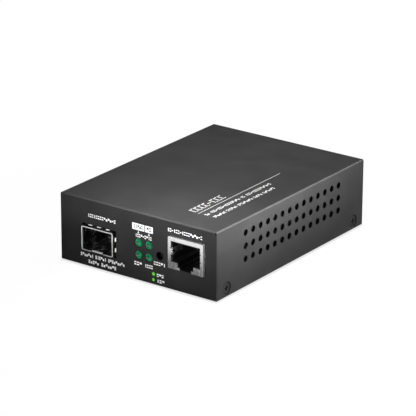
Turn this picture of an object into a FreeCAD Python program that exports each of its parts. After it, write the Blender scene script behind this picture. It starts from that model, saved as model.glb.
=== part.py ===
import FreeCAD, Part
import os
import Sketcher

# Driving sizes in millimetres. X runs to the right, Y to the rear and Z up, from the centre of the underside.
sizes = {
    # Folded steel case: a cover that slides on from the front, over a base with the rear wall
    "case_width": 69.1,
    "case_depth": 94.0,
    "case_height": 26.2,
    "sheet": 0.8,
    "fold_round": 0.5,
    "fold_gap": 0.1,
    "cover_lift": 0.45,
    "cover_gap": 0.15,
    "relief_inset": 0.35,
    "relief_width": 0.45,
    "relief_height": 0.7,
    "relief_drop": 0.2,
    "flange_height": 7.2,
    # Round vents in both side walls
    "vent_diameter": 2.45,
    "vent_pitch": 4.58,
    "vent_row_pitch": 4.97,
    "vent_columns": 14,
    "vent_rows": 3,
    "vent_margin": 5.31,
    "vent_shift": 0.3,
    # Countersunk screws through the cover into collars on the base
    "cover_screw_margin": 6.2,
    "cover_screw_level": 3.45,
    "cover_screw_diameter": 3.0,
    "cover_screw_length": 4.2,
    "cover_screw_head": 4.4,
    "countersink": 4.9,
    "collar_diameter": 4.4,
    "collar_length": 1.1,
    "thread_gap": 0.05,
    "recess_width": 0.5,
    "recess_length": 2.4,
    "recess_depth": 0.7,
    # Circuit board on four clinched standoffs
    "board_thickness": 1.6,
    "board_gap": 0.5,
    "standoff_height": 4.5,
    "standoff_diameter": 5.0,
    "standoff_foot": 4.2,
    "post_margin": 3.0,
    "post_behind_jack": 9.6,
    "post_behind_cage": 4.25,
    "rear_post_margin": 12.0,
    "board_hole": 3.2,
    "board_screw_diameter": 3.0,
    "board_screw_length": 5.0,
    "board_screw_head": 5.4,
    "board_screw_head_height": 1.9,
    "bore_floor": 0.4,
    # Pluggable optics cage, a pressed box that comes through the front
    "cage_shift": 0.7,
    "cage_width": 14.0,
    "cage_height": 9.1,
    "cage_length": 48.7,
    "cage_sheet": 0.25,
    "cage_corner": 0.6,
    "cage_proud": 1.45,
    "cage_cut_gap": 0.6,
    "latch_width": 4.7,
    "latch_length": 9.0,
    "latch_slit": 0.5,
    "latch_lip": 0.8,
    "latch_undercut": 0.35,
    "latch_eye": 2.4,
    "cage_hole": 1.6,
    "cage_hole_pitch": 4.2,
    "cage_hole_columns": 6,
    "cage_first_hole": 16.2,
    "leaf_setback": 8.0,
    "leaf_level": 2.1,
    "leaf_length": 5.0,
    "leaf_width": 2.4,
    "leaf_slit": 0.25,
    "cage_pin": 0.9,
    "cage_pin_length": 2.1,
    "cage_first_pin": 9.7,
    "cage_pin_pitch": 9.4,
    "cage_pin_count": 4,
    "pin_hole_gap": 0.2,
    # Spring collar round the cage, with fingers that press on the panel
    "collar_sheet": 0.12,
    "collar_setback": 0.3,
    "collar_reach": 7.0,
    "finger_width": 1.5,
    "finger_pitch": 4.0,
    "finger_length": 5.2,
    "finger_gap": 0.06,
    # Card edge connector inside the cage
    "host_width": 12.2,
    "host_height": 5.2,
    "host_length": 9.0,
    "host_margin": 1.0,
    "card_slot_width": 9.4,
    "card_slot_height": 1.3,
    "card_slot_level": 3.0,
    "card_slot_depth": 6.5,
    "host_contact_pitch": 0.8,
    "host_contact_count": 10,
    "host_contact_width": 0.32,
    "host_contact_sheet": 0.2,
    "host_contact_setback": 1.0,
    # Twisted pair jack in its folded shield
    "jack_margin": 5.05,
    "jack_width": 15.2,
    "jack_top": 20.75,
    "jack_face_low": 8.8,
    "jack_proud": 1.1,
    "jack_depth": 19.0,
    "jack_sheet": 0.25,
    "jack_cut_gap": 0.25,
    "window_width": 12.7,
    "window_low": 11.4,
    "window_high": 19.25,
    "plug_depth": 13.6,
    "plug_rim": 0.4,
    "notch_width": 7.0,
    "notch_drop": 1.6,
    "keyway_width": 4.85,
    "jack_spring_width": 2.5,
    "jack_spring_length": 6.0,
    "jack_spring_bow": 0.35,
    "jack_tab_slit": 0.35,
    "jack_slot_setback": 0.5,
    "jack_slot_length": 2.0,
    "jack_slot_width": 0.3,
    "jack_slot_pitch": 3.2,
    "jack_slot_count": 4,
    "jack_slot_margin": 1.95,
    "jack_peg": 3.2,
    "jack_peg_spread": 11.4,
    "jack_contact_count": 8,
    "jack_contact_pitch": 1.02,
    "jack_contact_wire": 0.4,
    "jack_contact_drop": 2.4,
    "jack_contact_setback": 1.6,
    "jack_contact_run": 2.7,
    # Four indicator lamps in one holder
    "lamp_to_reset": 7.22,
    "lamp_level": 12.3,
    "lamp_spacing": 4.55,
    "lamp_row_spacing": 4.6,
    "lamp_diameter": 3.05,
    "lamp_gap": 0.1,
    "lamp_proud": 0.4,
    "lamp_round": 1.0,
    "lamp_length": 4.8,
    "holder_margin": 1.0,
    "holder_depth": 5.2,
    "lead_width": 0.5,
    "lead_spread": 2.54,
    "lead_step": 1.4,
    # Recessed reset switch
    "reset_to_jack": 4.33,
    "reset_level": 11.8,
    "reset_hole": 2.75,
    "reset_setback": 0.7,
    "plunger_diameter": 2.2,
    "plunger_length": 1.6,
    "plunger_gap": 0.06,
    "plunger_flange": 3.2,
    "plunger_flange_thickness": 0.5,
    "plunger_edge": 0.25,
    "plunger_travel": 0.25,
    "switch_width": 4.8,
    "switch_depth": 3.5,
    "switch_wall": 0.8,
    "bracket_sheet": 0.3,
    # Power inlet in the rear wall
    "inlet_margin": 12.05,
    "inlet_width": 9.0,
    "inlet_height": 11.0,
    "inlet_depth": 14.0,
    "inlet_level": 6.5,
    "inlet_bore": 6.3,
    "inlet_bore_depth": 9.6,
    "inlet_pin": 2.0,
    "inlet_pin_setback": 1.0,
    "inlet_pin_edge": 0.5,
    "inlet_round": 2.0,
    "inlet_cut_gap": 0.2,
    "inlet_spring_width": 1.8,
    "inlet_spring_sheet": 0.3,
    # Parts soldered flat on the board
    "chip_width": 14.0,
    "chip_height": 1.4,
    "chip_lead_pitch": 1.0,
    "chip_lead_width": 0.4,
    "chip_lead_reach": 1.0,
    "chip_lead_count": 12,
    "chip_corner": 0.4,
    "part_gap": 1.6,
    "phy_width": 10.0,
    "phy_lead_count": 8,
    "phy_height": 1.0,
    "transformer_width": 12.7,
    "transformer_length": 15.0,
    "transformer_height": 6.0,
    "flash_length": 5.0,
    "flash_width": 4.0,
    "flash_height": 1.6,
    "flash_lead_count": 4,
    "capacitor_diameter": 6.3,
    "capacitor_height": 7.7,
    "capacitor_foot": 1.2,
    "capacitor_edge": 0.4,
    "inductor_width": 7.0,
    "inductor_height": 4.0,
    "inductor_core": 5.6,
    "crystal_length": 10.8,
    "crystal_width": 4.4,
    "crystal_height": 3.6,
    "resistor_length": 1.6,
    "resistor_width": 0.8,
    "resistor_height": 0.5,
    "resistor_pitch": 1.9,
    "resistor_count": 9,
}


class Length:
    # A number together with the sheet formula that gives it
    def __init__(self, formula, number):
        self.formula = formula
        self.number = number

    def joined(self, sign, other, turned=False):
        first, second = (as_length(other), self) if turned else (self, as_length(other))
        number = {
            "+": lambda a, b: a + b,
            "-": lambda a, b: a - b,
            "*": lambda a, b: a * b,
            "/": lambda a, b: a / b,
        }[sign](first.number, second.number)
        return Length(f"({first.formula} {sign} {second.formula})", number)

    def __add__(self, other):
        return self.joined("+", other)

    def __radd__(self, other):
        return self.joined("+", other, True)

    def __sub__(self, other):
        return self.joined("-", other)

    def __rsub__(self, other):
        return self.joined("-", other, True)

    def __mul__(self, other):
        return self.joined("*", other)

    def __rmul__(self, other):
        return self.joined("*", other, True)

    def __truediv__(self, other):
        return self.joined("/", other)

    def __neg__(self):
        return self.joined("-", 0, True)


def as_length(value):
    return value if isinstance(value, Length) else Length(str(value), value)


# The document and its table of sizes
doc = FreeCAD.newDocument("MediaConverter")
table = doc.addObject("Spreadsheet::Sheet", "Sizes")
for row, (name, value) in enumerate(sizes.items(), 1):
    table.set(f"A{row}", name)
    table.set(f"B{row}", str(value))
    table.setAlias(f"B{row}", name)
doc.recompute()


class Cells:
    # Gives each size by its name, as a Length that is bound to its cell
    def __getattr__(self, name):
        return Length(f"Sizes.{name}", sizes[name])


size = Cells()


def bind(thing, path, length):
    thing.setExpression(path, as_length(length).formula)


# The axis that each plane faces, and whether its normal runs along that axis
FACING = {"XY_Plane": 1, "XZ_Plane": -1, "YZ_Plane": 1}


class Outline:
    # A sketch on one of its body's origin planes, with each point bound to the sheet
    def __init__(self, piece, name, plane, level, origin=(0, 0)):
        self.sketch = piece.body.newObject("Sketcher::SketchObject", name)
        self.sketch.AttachmentSupport = [(piece.datum(plane), "")]
        self.sketch.MapMode = "FlatFace"
        bind(self.sketch, "AttachmentOffset.Base.x", origin[0])
        bind(self.sketch, "AttachmentOffset.Base.y", origin[1])
        bind(self.sketch, "AttachmentOffset.Base.z", level * FACING[plane])

    def hold(self, element, end, u, v):
        for kind, length in (("DistanceX", u), ("DistanceY", v)):
            length = as_length(length)
            place = self.sketch.addConstraint(Sketcher.Constraint(kind, -1, 1, element, end, length.number))
            bind(self.sketch, f"Constraints[{place}]", length)

    def polygon(self, points):
        at = [FreeCAD.Vector(as_length(u).number, as_length(v).number, 0) for u, v in points]
        sides = [
            self.sketch.addGeometry(Part.LineSegment(at[n], at[(n + 1) % len(at)])) for n in range(len(at))
        ]
        for n, side in enumerate(sides):
            following = sides[(n + 1) % len(sides)]
            self.sketch.addConstraint(Sketcher.Constraint("Coincident", side, 2, following, 1))
        for side, (u, v) in zip(sides, points):
            self.hold(side, 1, u, v)

    def rectangle(self, left, right, low, high):
        self.polygon([(left, low), (right, low), (right, high), (left, high)])

    def circle(self, u, v, diameter):
        centre = FreeCAD.Vector(as_length(u).number, as_length(v).number, 0)
        diameter = as_length(diameter)
        ring = self.sketch.addGeometry(Part.Circle(centre, FreeCAD.Vector(0, 0, 1), diameter.number / 2))
        place = self.sketch.addConstraint(Sketcher.Constraint("Diameter", ring, diameter.number))
        bind(self.sketch, f"Constraints[{place}]", diameter)
        self.hold(ring, 3, u, v)


class Piece:
    # One physical piece as a PartDesign body
    def __init__(self, label, loose=False):
        self.body = doc.addObject("PartDesign::Body", label)
        self.body.Label = label
        self.body.AllowCompound = loose
        self.steps = 0

    def datum(self, role):
        return next(item for item in self.body.Origin.OriginFeatures if item.Role == role)

    def step(self, kind, name):
        self.steps += 1
        return self.body.newObject(f"PartDesign::{kind}", f"{self.body.Label}_{name}_{self.steps}")

    def drawn(self, name, plane, level, draw, origin=(0, 0)):
        outline = Outline(self, f"{self.body.Label}_{name}_outline_{self.steps}", plane, level, origin)
        draw(outline)
        return outline.sketch

    # Material between two levels along the plane's axis
    def add(self, name, plane, low, high, draw):
        level = high if plane == "XZ_Plane" else low
        sketch = self.drawn(name, plane, as_length(level), draw)
        pad = self.step("Pad", name)
        pad.Profile = sketch
        bind(pad, "Length", high - low)
        return pad

    # A cut between two levels along the plane's axis, which must remove something
    def cut(self, name, plane, low, high, draw):
        doc.recompute()
        before = self.body.Shape.Volume
        level = low if plane == "XZ_Plane" else high
        sketch = self.drawn(name, plane, as_length(level), draw)
        pocket = self.step("Pocket", name)
        pocket.Profile = sketch
        bind(pocket, "Length", high - low)
        doc.recompute()
        if self.body.Shape.Volume >= before:
            raise ValueError(f"{pocket.Name} removes nothing")
        return pocket

    # A turned form: the outline's points are (radius, distance along the axis) from the origin
    def turn(self, name, plane, level, origin, axis, draw):
        sketch = self.drawn(name, plane, as_length(level), draw, origin)
        turned = self.step("Revolution", name)
        turned.Profile = sketch
        turned.ReferenceAxis = (sketch, [axis])
        turned.Angle = 360
        return turned

    def turn_away(self, name, plane, level, origin, axis, draw):
        sketch = self.drawn(name, plane, as_length(level), draw, origin)
        groove = self.step("Groove", name)
        groove.Profile = sketch
        groove.ReferenceAxis = (sketch, [axis])
        groove.Angle = 360
        return groove

    def edges(self, chosen):
        doc.recompute()
        shape = self.body.Shape
        return [f"Edge{n}" for n, edge in enumerate(shape.Edges, 1) if chosen(edge.BoundBox)]

    def fillet(self, name, radius, chosen):
        names = self.edges(chosen)
        base = self.body.Tip
        rounded = self.step("Fillet", name)
        rounded.Base = (base, names)
        bind(rounded, "Radius", radius)
        return rounded

    def chamfer(self, name, width, chosen):
        names = self.edges(chosen)
        base = self.body.Tip
        sloped = self.step("Chamfer", name)
        sloped.Base = (base, names)
        bind(sloped, "Size", width)
        return sloped

    # A folded or pressed shell: walls of one thickness inward, with the chosen faces open
    def hollow(self, name, thickness, chosen):
        doc.recompute()
        base = self.body.Tip
        names = [f"Face{n}" for n, face in enumerate(base.Shape.Faces, 1) if chosen(face.BoundBox)]
        shell = self.step("Thickness", name)
        shell.Base = (base, names)
        shell.Reversed = True
        bind(shell, "Value", thickness)
        return shell

    def row(self, name, features, axis, length, count, second=None):
        pattern = self.step("LinearPattern", name)
        pattern.Originals = features
        pattern.Direction = (self.datum(axis), [""])
        bind(pattern, "Length", length)
        bind(pattern, "Occurrences", count)
        if second:
            pattern.Direction2 = (self.datum(second[0]), [""])
            bind(pattern, "Length2", second[1])
            bind(pattern, "Occurrences2", second[2])
        self.body.Tip = pattern
        return pattern

    def mirror(self, name, features, plane):
        mirrored = self.step("Mirrored", name)
        mirrored.Originals = features
        mirrored.MirrorPlane = (self.datum(plane), [""])
        self.body.Tip = mirrored
        return mirrored


# Picks an edge or face that lies flat at one place along an axis
def lies(box, axis, place):
    place = as_length(place).number
    return all(abs(getattr(box, axis + end) - place) < 1e-4 for end in ("Min", "Max"))


# Picks a straight edge that runs along one axis
def along(box, axis):
    return all(getattr(box, other + "Length") < 1e-4 for other in "XYZ" if other != axis)


# Places worked out from the sizes
front = -size.case_depth / 2
rear = size.case_depth / 2
half = size.case_width / 2
base_half = half - size.sheet - size.cover_gap
base_front = front + size.sheet + size.cover_gap
base_top = size.case_height - size.sheet - size.cover_gap
screw_level = size.cover_screw_level
board_low = size.sheet + size.standoff_height
board_top = board_low + size.board_thickness
board_half = base_half - size.sheet - size.collar_length - size.board_gap
board_front = base_front + size.board_gap
board_rear = rear - size.sheet - size.board_gap
jack_right = half - size.jack_margin
jack_left = jack_right - size.jack_width
jack_x = (jack_left + jack_right) / 2
jack_face = front - size.jack_proud
jack_step = base_front + size.board_gap
jack_end = jack_face + size.jack_depth
peg_place = jack_face + size.jack_depth / 2
window_left = jack_x - size.window_width / 2
window_right = jack_x + size.window_width / 2
plug_side = size.window_width / 2 - size.plug_rim
plug_low = size.window_low + size.plug_rim / 2
plug_high = size.window_high - size.plug_rim
reset_x = jack_left - size.reset_to_jack
plunger_front = front + size.sheet + size.reset_setback
switch_front = plunger_front + size.plunger_length
lamp_x = reset_x - size.lamp_to_reset
lamp_front = front - size.lamp_proud
lamps_left = lamp_x - size.lamp_spacing / 2 - size.lamp_diameter / 2
holder_front = base_front
holder_rear = holder_front + size.holder_depth
cage_x = (lamps_left - half) / 2 + size.cage_shift
cage_left = cage_x - size.cage_width / 2
cage_right = cage_x + size.cage_width / 2
cage_top = board_top + size.cage_height
cage_mouth = front - size.cage_proud
cage_end = cage_mouth + size.cage_length
cage_pin_reach = size.cage_width / 2 - size.cage_corner - size.cage_pin / 2
pin_start = front + size.cage_first_pin
host_rear = cage_end - size.cage_sheet - size.host_margin
host_front = host_rear - size.host_length
inlet_x = size.inlet_margin + size.inlet_width / 2 - half
inlet_face = rear - size.cover_gap
inlet_front = inlet_face - size.inlet_depth
inlet_axis = board_top + size.inlet_level
inlet_tail_place = inlet_front + size.inlet_spring_width
screw_reach = rear - size.cover_screw_margin
post_x = board_half - size.post_margin
rear_post = board_rear - size.rear_post_margin
posts = [
    (-post_x, cage_end + size.post_behind_cage),
    (post_x, jack_end + size.post_behind_jack),
    (-post_x, rear_post),
    (post_x, rear_post),
]
nodes = []


def finish(piece):
    nodes.append(piece.body)
    return piece


# Cover: one sheet folded into the top, the front and both sides
def make_cover():
    piece = Piece("cover")
    piece.add(
        "block",
        "XY_Plane",
        size.cover_lift,
        size.case_height,
        lambda o: o.rectangle(-half, half, front, rear),
    )
    piece.hollow("walls", size.sheet, lambda box: lies(box, "Z", size.cover_lift) or lies(box, "Y", rear))
    piece.fillet(
        "folds",
        size.fold_round,
        lambda box: lies(box, "Z", size.case_height) and (along(box, "Y") or lies(box, "Y", front)),
    )

    def panel(outline):
        gap = size.cage_cut_gap
        outline.rectangle(cage_left - gap, cage_right + gap, board_top - gap, cage_top + gap)
        gap = size.jack_cut_gap
        outline.rectangle(jack_left - gap, jack_right + gap, size.jack_face_low - gap, size.jack_top + gap)
        for across in (-1, 1):
            for up in (-1, 1):
                outline.circle(
                    lamp_x + across * size.lamp_spacing / 2,
                    size.lamp_level + up * size.lamp_row_spacing / 2,
                    size.lamp_diameter + 2 * size.lamp_gap,
                )
        outline.circle(reset_x, size.reset_level, size.reset_hole)

    piece.cut("panel", "XZ_Plane", front, front + size.sheet, panel)

    # The front wall laps the side walls' front edges, with a seam and a relief hole at each corner
    seam = front + size.sheet
    piece.cut(
        "seam",
        "YZ_Plane",
        -half,
        half,
        lambda o: o.rectangle(
            seam, seam + size.fold_gap, size.cover_lift - size.sheet, size.case_height - size.sheet
        ),
    )
    relief = piece.cut(
        "relief",
        "XZ_Plane",
        front,
        seam + size.fold_gap,
        lambda o: o.rectangle(
            half - size.relief_inset - size.relief_width,
            half - size.relief_inset,
            size.case_height - size.sheet - size.relief_drop,
            size.case_height - size.sheet - size.relief_drop + size.relief_height,
        ),
    )
    piece.mirror("reliefs", [relief], "YZ_Plane")

    start = size.vent_shift - size.vent_pitch * (size.vent_columns - 1) / 2
    rise = size.vent_row_pitch * (size.vent_rows - 1)
    lowest = size.case_height - size.vent_margin - rise
    vent = piece.cut("vent", "YZ_Plane", -half, half, lambda o: o.circle(start, lowest, size.vent_diameter))
    piece.row(
        "vents",
        [vent],
        "Y_Axis",
        size.vent_pitch * (size.vent_columns - 1),
        size.vent_columns,
        ("Z_Axis", rise, size.vent_rows),
    )

    # A cone cut for each screw's head, with its hole
    wide = size.countersink / 2
    narrow = wide - size.sheet
    inside = half - size.sheet
    cones = [
        piece.turn_away(
            "screw_hole",
            "XY_Plane",
            screw_level,
            (0, end * screw_reach),
            "H_Axis",
            lambda o: o.polygon([(inside, 0), (half, 0), (half, wide), (inside, narrow)]),
        )
        for end in (-1, 1)
    ]
    piece.mirror("screw_holes", cones, "YZ_Plane")
    return finish(piece)


make_cover()


# Base: one sheet folded into the floor, two low side flanges and the rear wall
def make_base():
    piece = Piece("base")
    piece.add(
        "block", "XY_Plane", 0, base_top, lambda o: o.rectangle(-base_half, base_half, base_front, rear)
    )
    piece.hollow("walls", size.sheet, lambda box: lies(box, "Z", base_top) or lies(box, "Y", base_front))
    piece.fillet(
        "folds",
        size.fold_round,
        lambda box: lies(box, "Z", 0) and (along(box, "Y") or lies(box, "Y", rear)),
    )
    wall = rear - size.sheet
    piece.cut(
        "flanges",
        "YZ_Plane",
        -base_half,
        base_half,
        lambda o: o.polygon(
            [
                (base_front, size.flange_height),
                (wall - 2 * size.sheet, size.flange_height),
                (wall - size.sheet, size.flange_height - size.sheet),
                (wall, size.flange_height - size.sheet),
                (wall, base_top),
                (base_front, base_top),
            ]
        ),
    )
    piece.cut(
        "seam",
        "YZ_Plane",
        -base_half,
        base_half,
        lambda o: o.rectangle(wall - size.fold_gap, wall, size.sheet, size.flange_height),
    )

    # Drawn collars that take the cover's screws
    inner = base_half - size.sheet
    hole = size.cover_screw_diameter + 2 * size.thread_gap
    ends = (-screw_reach, screw_reach)

    def rings(diameter):
        def draw(outline):
            for place in ends:
                outline.circle(place, screw_level, diameter)

        return draw

    collars = piece.add("collars", "YZ_Plane", inner - size.collar_length, inner, rings(size.collar_diameter))
    piece.mirror("both_collars", [collars], "YZ_Plane")
    piece.cut("collar_holes", "YZ_Plane", -base_half, base_half, rings(hole))

    # Holes for the standoffs' feet, and the opening round the power inlet
    def feet(outline):
        for x, y in posts:
            outline.circle(x, y, size.standoff_foot + 2 * size.thread_gap)

    piece.cut("feet", "XY_Plane", 0, size.sheet, feet)
    gap = size.inlet_cut_gap
    side = size.inlet_width / 2 + gap
    piece.cut(
        "inlet",
        "XZ_Plane",
        wall,
        rear,
        lambda o: o.rectangle(
            inlet_x - side, inlet_x + side, board_top - gap, board_top + size.inlet_height + gap
        ),
    )
    return finish(piece)


make_base()


# A cross recess, cut into a screw's head from its crown
def cross_recess(piece, plane, low, high, across, up):
    arm = size.recess_length / 2
    slot = size.recess_width / 2
    piece.cut(
        "recess",
        plane,
        low,
        high,
        lambda o: o.polygon(
            [
                (across - arm, up - slot),
                (across - slot, up - slot),
                (across - slot, up - arm),
                (across + slot, up - arm),
                (across + slot, up - slot),
                (across + arm, up - slot),
                (across + arm, up + slot),
                (across + slot, up + slot),
                (across + slot, up + arm),
                (across - slot, up + arm),
                (across - slot, up + slot),
                (across - arm, up + slot),
            ]
        ),
    )


# Copies of one fastener as a single node: each spot is X, Y and a turn about Z in degrees
def copies(label, piece, spots):
    links = []
    for n, (x, y, turn) in enumerate(spots, 1):
        link = doc.addObject("App::Link", f"{label}_{n}")
        link.LinkedObject = piece.body
        link.Placement.Rotation = FreeCAD.Rotation(FreeCAD.Vector(0, 0, 1), turn)
        bind(link, "Placement.Base.x", x)
        bind(link, "Placement.Base.y", y)
        links.append(link)
    group = doc.addObject("Part::Compound", label)
    group.Label = label
    group.Links = links
    nodes.append(group)


# Flat head screws, seated in the cover's cones
def make_cover_screws():
    piece = Piece("flat_head_screw")
    sunk = (size.countersink - size.cover_screw_head) / 2
    crown = half - sunk
    head = size.cover_screw_head / 2
    shank = size.cover_screw_diameter / 2
    tip = crown - size.cover_screw_length
    piece.turn(
        "screw",
        "XY_Plane",
        screw_level,
        (0, 0),
        "H_Axis",
        lambda o: o.polygon(
            [
                (tip, 0),
                (crown, 0),
                (crown, head),
                (crown - (head - shank), shank),
                (tip + shank / 3, shank),
                (tip, shank * 2 / 3),
            ]
        ),
    )
    cross_recess(piece, "YZ_Plane", crown - size.recess_depth, crown, 0, screw_level)
    copies("cover_screws", piece, [(0, end * screw_reach, turn) for turn in (0, 180) for end in (-1, 1)])


make_cover_screws()


# Clinched standoffs with blind threaded bores
def make_standoffs():
    piece = Piece("standoff")
    foot = size.standoff_foot / 2
    barrel = size.standoff_diameter / 2
    bore = size.board_screw_diameter / 2 + size.thread_gap
    floor = board_top - size.board_screw_length - size.bore_floor
    piece.turn(
        "post",
        "XZ_Plane",
        0,
        (0, 0),
        "V_Axis",
        lambda o: o.polygon(
            [
                (0, 0),
                (foot, 0),
                (foot, size.sheet),
                (barrel, size.sheet),
                (barrel, board_low),
                (bore, board_low),
                (bore, floor),
                (0, floor),
            ]
        ),
    )
    copies("board_standoffs", piece, [(x, y, 0) for x, y in posts])


make_standoffs()


# Pan head screws that hold the board down
def make_board_screws():
    piece = Piece("pan_head_screw")
    crown = board_top + size.board_screw_head_height
    head = size.board_screw_head / 2
    shank = size.board_screw_diameter / 2
    tip = board_top - size.board_screw_length
    edge = size.board_screw_head_height / 3
    piece.turn(
        "screw",
        "XZ_Plane",
        0,
        (0, 0),
        "V_Axis",
        lambda o: o.polygon(
            [
                (0, tip),
                (shank * 2 / 3, tip),
                (shank, tip + shank / 3),
                (shank, board_top),
                (head, board_top),
                (head, crown - edge),
                (head - edge, crown),
                (0, crown),
            ]
        ),
    )
    cross_recess(piece, "XY_Plane", crown - size.recess_depth, crown, 0, 0)
    copies("board_screws", piece, [(x, y, 0) for x, y in posts])


make_board_screws()


# Circuit board, with holes for its screws and for the pins that go through it
def make_board():
    piece = Piece("circuit_board")
    piece.add(
        "sheet",
        "XY_Plane",
        board_low,
        board_top,
        lambda o: o.rectangle(-board_half, board_half, board_front, board_rear),
    )

    # The front edge is cut back round the cage's spring collar
    room = size.cage_cut_gap
    piece.cut(
        "collar_notch",
        "XY_Plane",
        board_low,
        board_top,
        lambda o: o.rectangle(
            cage_left - room, cage_right + room, board_front, cage_mouth + size.collar_reach + room
        ),
    )

    def drilled(outline):
        for x, y in posts:
            outline.circle(x, y, size.board_hole)
        for side in (-1, 1):
            peg = jack_x + side * size.jack_peg_spread / 2
            outline.circle(peg, peg_place, size.jack_peg + 2 * size.thread_gap)
        outline.circle(inlet_x, inlet_tail_place, size.inlet_spring_width + size.pin_hole_gap)

    piece.cut("drilled", "XY_Plane", board_low, board_top, drilled)
    hole = size.cage_pin + size.pin_hole_gap
    pins = [
        piece.cut(
            "pin_hole",
            "XY_Plane",
            board_low,
            board_top,
            lambda o: o.circle(cage_x + side * cage_pin_reach, pin_start, hole),
        )
        for side in (-1, 1)
    ]
    length = size.cage_pin_pitch * (size.cage_pin_count - 1)
    piece.row("pin_holes", pins, "Y_Axis", length, size.cage_pin_count)
    return finish(piece)


make_board()


# Optics cage: a pressed box, open at the mouth, with a latch tongue cut free in its floor
def make_cage():
    piece = Piece("sfp_cage")
    wall = size.cage_sheet
    place = cage_x
    piece.add(
        "block",
        "XZ_Plane",
        cage_mouth,
        cage_end,
        lambda o: o.rectangle(cage_left, cage_right, board_top, cage_top),
    )
    piece.fillet("corners", size.cage_corner, lambda box: along(box, "Y"))
    piece.hollow("walls", wall, lambda box: lies(box, "Y", cage_mouth))

    # Room for the card edge connector, and slits that free the latch tongue
    side = size.host_width / 2 + wall
    piece.cut(
        "connector_bay",
        "XY_Plane",
        board_top,
        board_top + wall,
        lambda o: o.rectangle(place - side, place + side, host_front - 2 * wall, host_rear + 2 * wall),
    )
    tongue = size.latch_width / 2

    def slits(outline):
        for turn in (-1, 1):
            near = place + turn * tongue
            far = place + turn * (tongue + size.latch_slit)
            outline.polygon(
                [
                    (near, cage_mouth - size.cage_proud),
                    (far, cage_mouth - size.cage_proud),
                    (far, cage_mouth + size.latch_length),
                    (near, cage_mouth + size.latch_length),
                ]
            )

    piece.cut("slits", "XY_Plane", board_top, board_top + wall, slits)
    piece.cut(
        "latch_nose",
        "XY_Plane",
        board_top,
        board_top + wall,
        lambda o: o.rectangle(place - tongue, place + tongue, cage_mouth, cage_mouth + size.latch_undercut),
    )
    eye = size.latch_eye
    piece.cut(
        "latch_eye",
        "XY_Plane",
        board_top,
        board_top + wall,
        lambda o: o.polygon(
            [
                (place, cage_mouth + 2 * eye),
                (place - eye / 2, cage_mouth + eye),
                (place + eye / 2, cage_mouth + eye),
            ]
        ),
    )
    piece.add(
        "latch_lip",
        "XY_Plane",
        board_top + wall,
        board_top + 2 * wall,
        lambda o: o.rectangle(place - tongue, place + tongue, cage_mouth, cage_mouth + size.latch_lip),
    )

    # A slit round three sides of a leaf in each side wall
    slit = size.leaf_slit
    near = cage_mouth + size.leaf_setback
    far = near + size.leaf_length
    under = board_top + size.leaf_level - size.leaf_width / 2
    over = under + size.leaf_width
    piece.cut(
        "leaves",
        "YZ_Plane",
        cage_left,
        cage_right,
        lambda o: o.polygon(
            [
                (far, over),
                (near, over),
                (near, under),
                (far, under),
                (far, under + slit),
                (near + slit, under + slit),
                (near + slit, over - slit),
                (far, over - slit),
            ]
        ),
    )

    # Air holes in the roof
    first = cage_mouth + size.cage_first_hole
    hole = piece.cut(
        "roof_hole",
        "XY_Plane",
        cage_top - wall,
        cage_top,
        lambda o: o.circle(place - size.cage_hole_pitch / 2, first, size.cage_hole),
    )
    piece.row(
        "roof_holes",
        [hole],
        "Y_Axis",
        size.cage_hole_pitch * (size.cage_hole_columns - 1),
        size.cage_hole_columns,
        ("X_Axis", size.cage_hole_pitch, 2),
    )

    # Pins pressed into the board
    pins = [
        piece.add(
            "pin",
            "XY_Plane",
            board_top - size.cage_pin_length,
            board_top + wall,
            lambda o: o.rectangle(
                place + turn * cage_pin_reach - wall / 2,
                place + turn * cage_pin_reach + wall / 2,
                pin_start - size.cage_pin / 2,
                pin_start + size.cage_pin / 2,
            ),
        )
        for turn in (-1, 1)
    ]
    piece.row("pins", pins, "Y_Axis", size.cage_pin_pitch * (size.cage_pin_count - 1), size.cage_pin_count)
    return finish(piece)


make_cage()


# Spring collar: a band round the cage, with bowed fingers that reach for the panel's edge
def make_collar():
    piece = Piece("sfp_spring_fingers")
    gap = size.collar_sheet / 2
    thick = size.collar_sheet
    start = cage_mouth + size.collar_setback
    end = cage_mouth + size.collar_reach
    left, right = cage_left - gap, cage_right + gap
    low, high = board_top - gap, cage_top + gap
    piece.add(
        "band",
        "XZ_Plane",
        start,
        end,
        lambda o: o.rectangle(left - thick, right + thick, low - thick, high + thick),
    )
    piece.fillet("corners", size.cage_corner + gap + thick, lambda box: along(box, "Y"))
    piece.hollow("wall", thick, lambda box: lies(box, "Y", start) or lies(box, "Y", end))

    # Each finger rises to the panel's edge and comes back to the band
    rise = size.cage_cut_gap - gap - thick - size.finger_gap
    top = size.finger_length / 4

    def bowed(base, out):
        return [
            (start, base - out * thick),
            (start + top, base + out * (rise - thick)),
            (start + 2 * top, base + out * (rise - thick)),
            (start + 4 * top, base - out * thick),
            (start + 4 * top, base),
            (start + 2 * top, base + out * rise),
            (start + top, base + out * rise),
            (start, base),
        ]

    for base, out in ((high + thick, 1), (low - thick, -1)):
        for across in (-1, 0, 1):
            place = cage_x + across * size.finger_pitch - size.finger_width / 2
            piece.add(
                "finger", "YZ_Plane", place, place + size.finger_width, lambda o: o.polygon(bowed(base, out))
            )
    middle = (board_top + cage_top) / 2
    for base, out in ((right + thick, 1), (left - thick, -1)):
        for up in (-1, 1):
            place = middle + up * size.finger_pitch / 2 - size.finger_width / 2
            piece.add(
                "finger",
                "XY_Plane",
                place,
                place + size.finger_width,
                lambda o: o.polygon([(x, y) for y, x in bowed(base, out)]),
            )
    return finish(piece)


make_collar()


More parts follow.
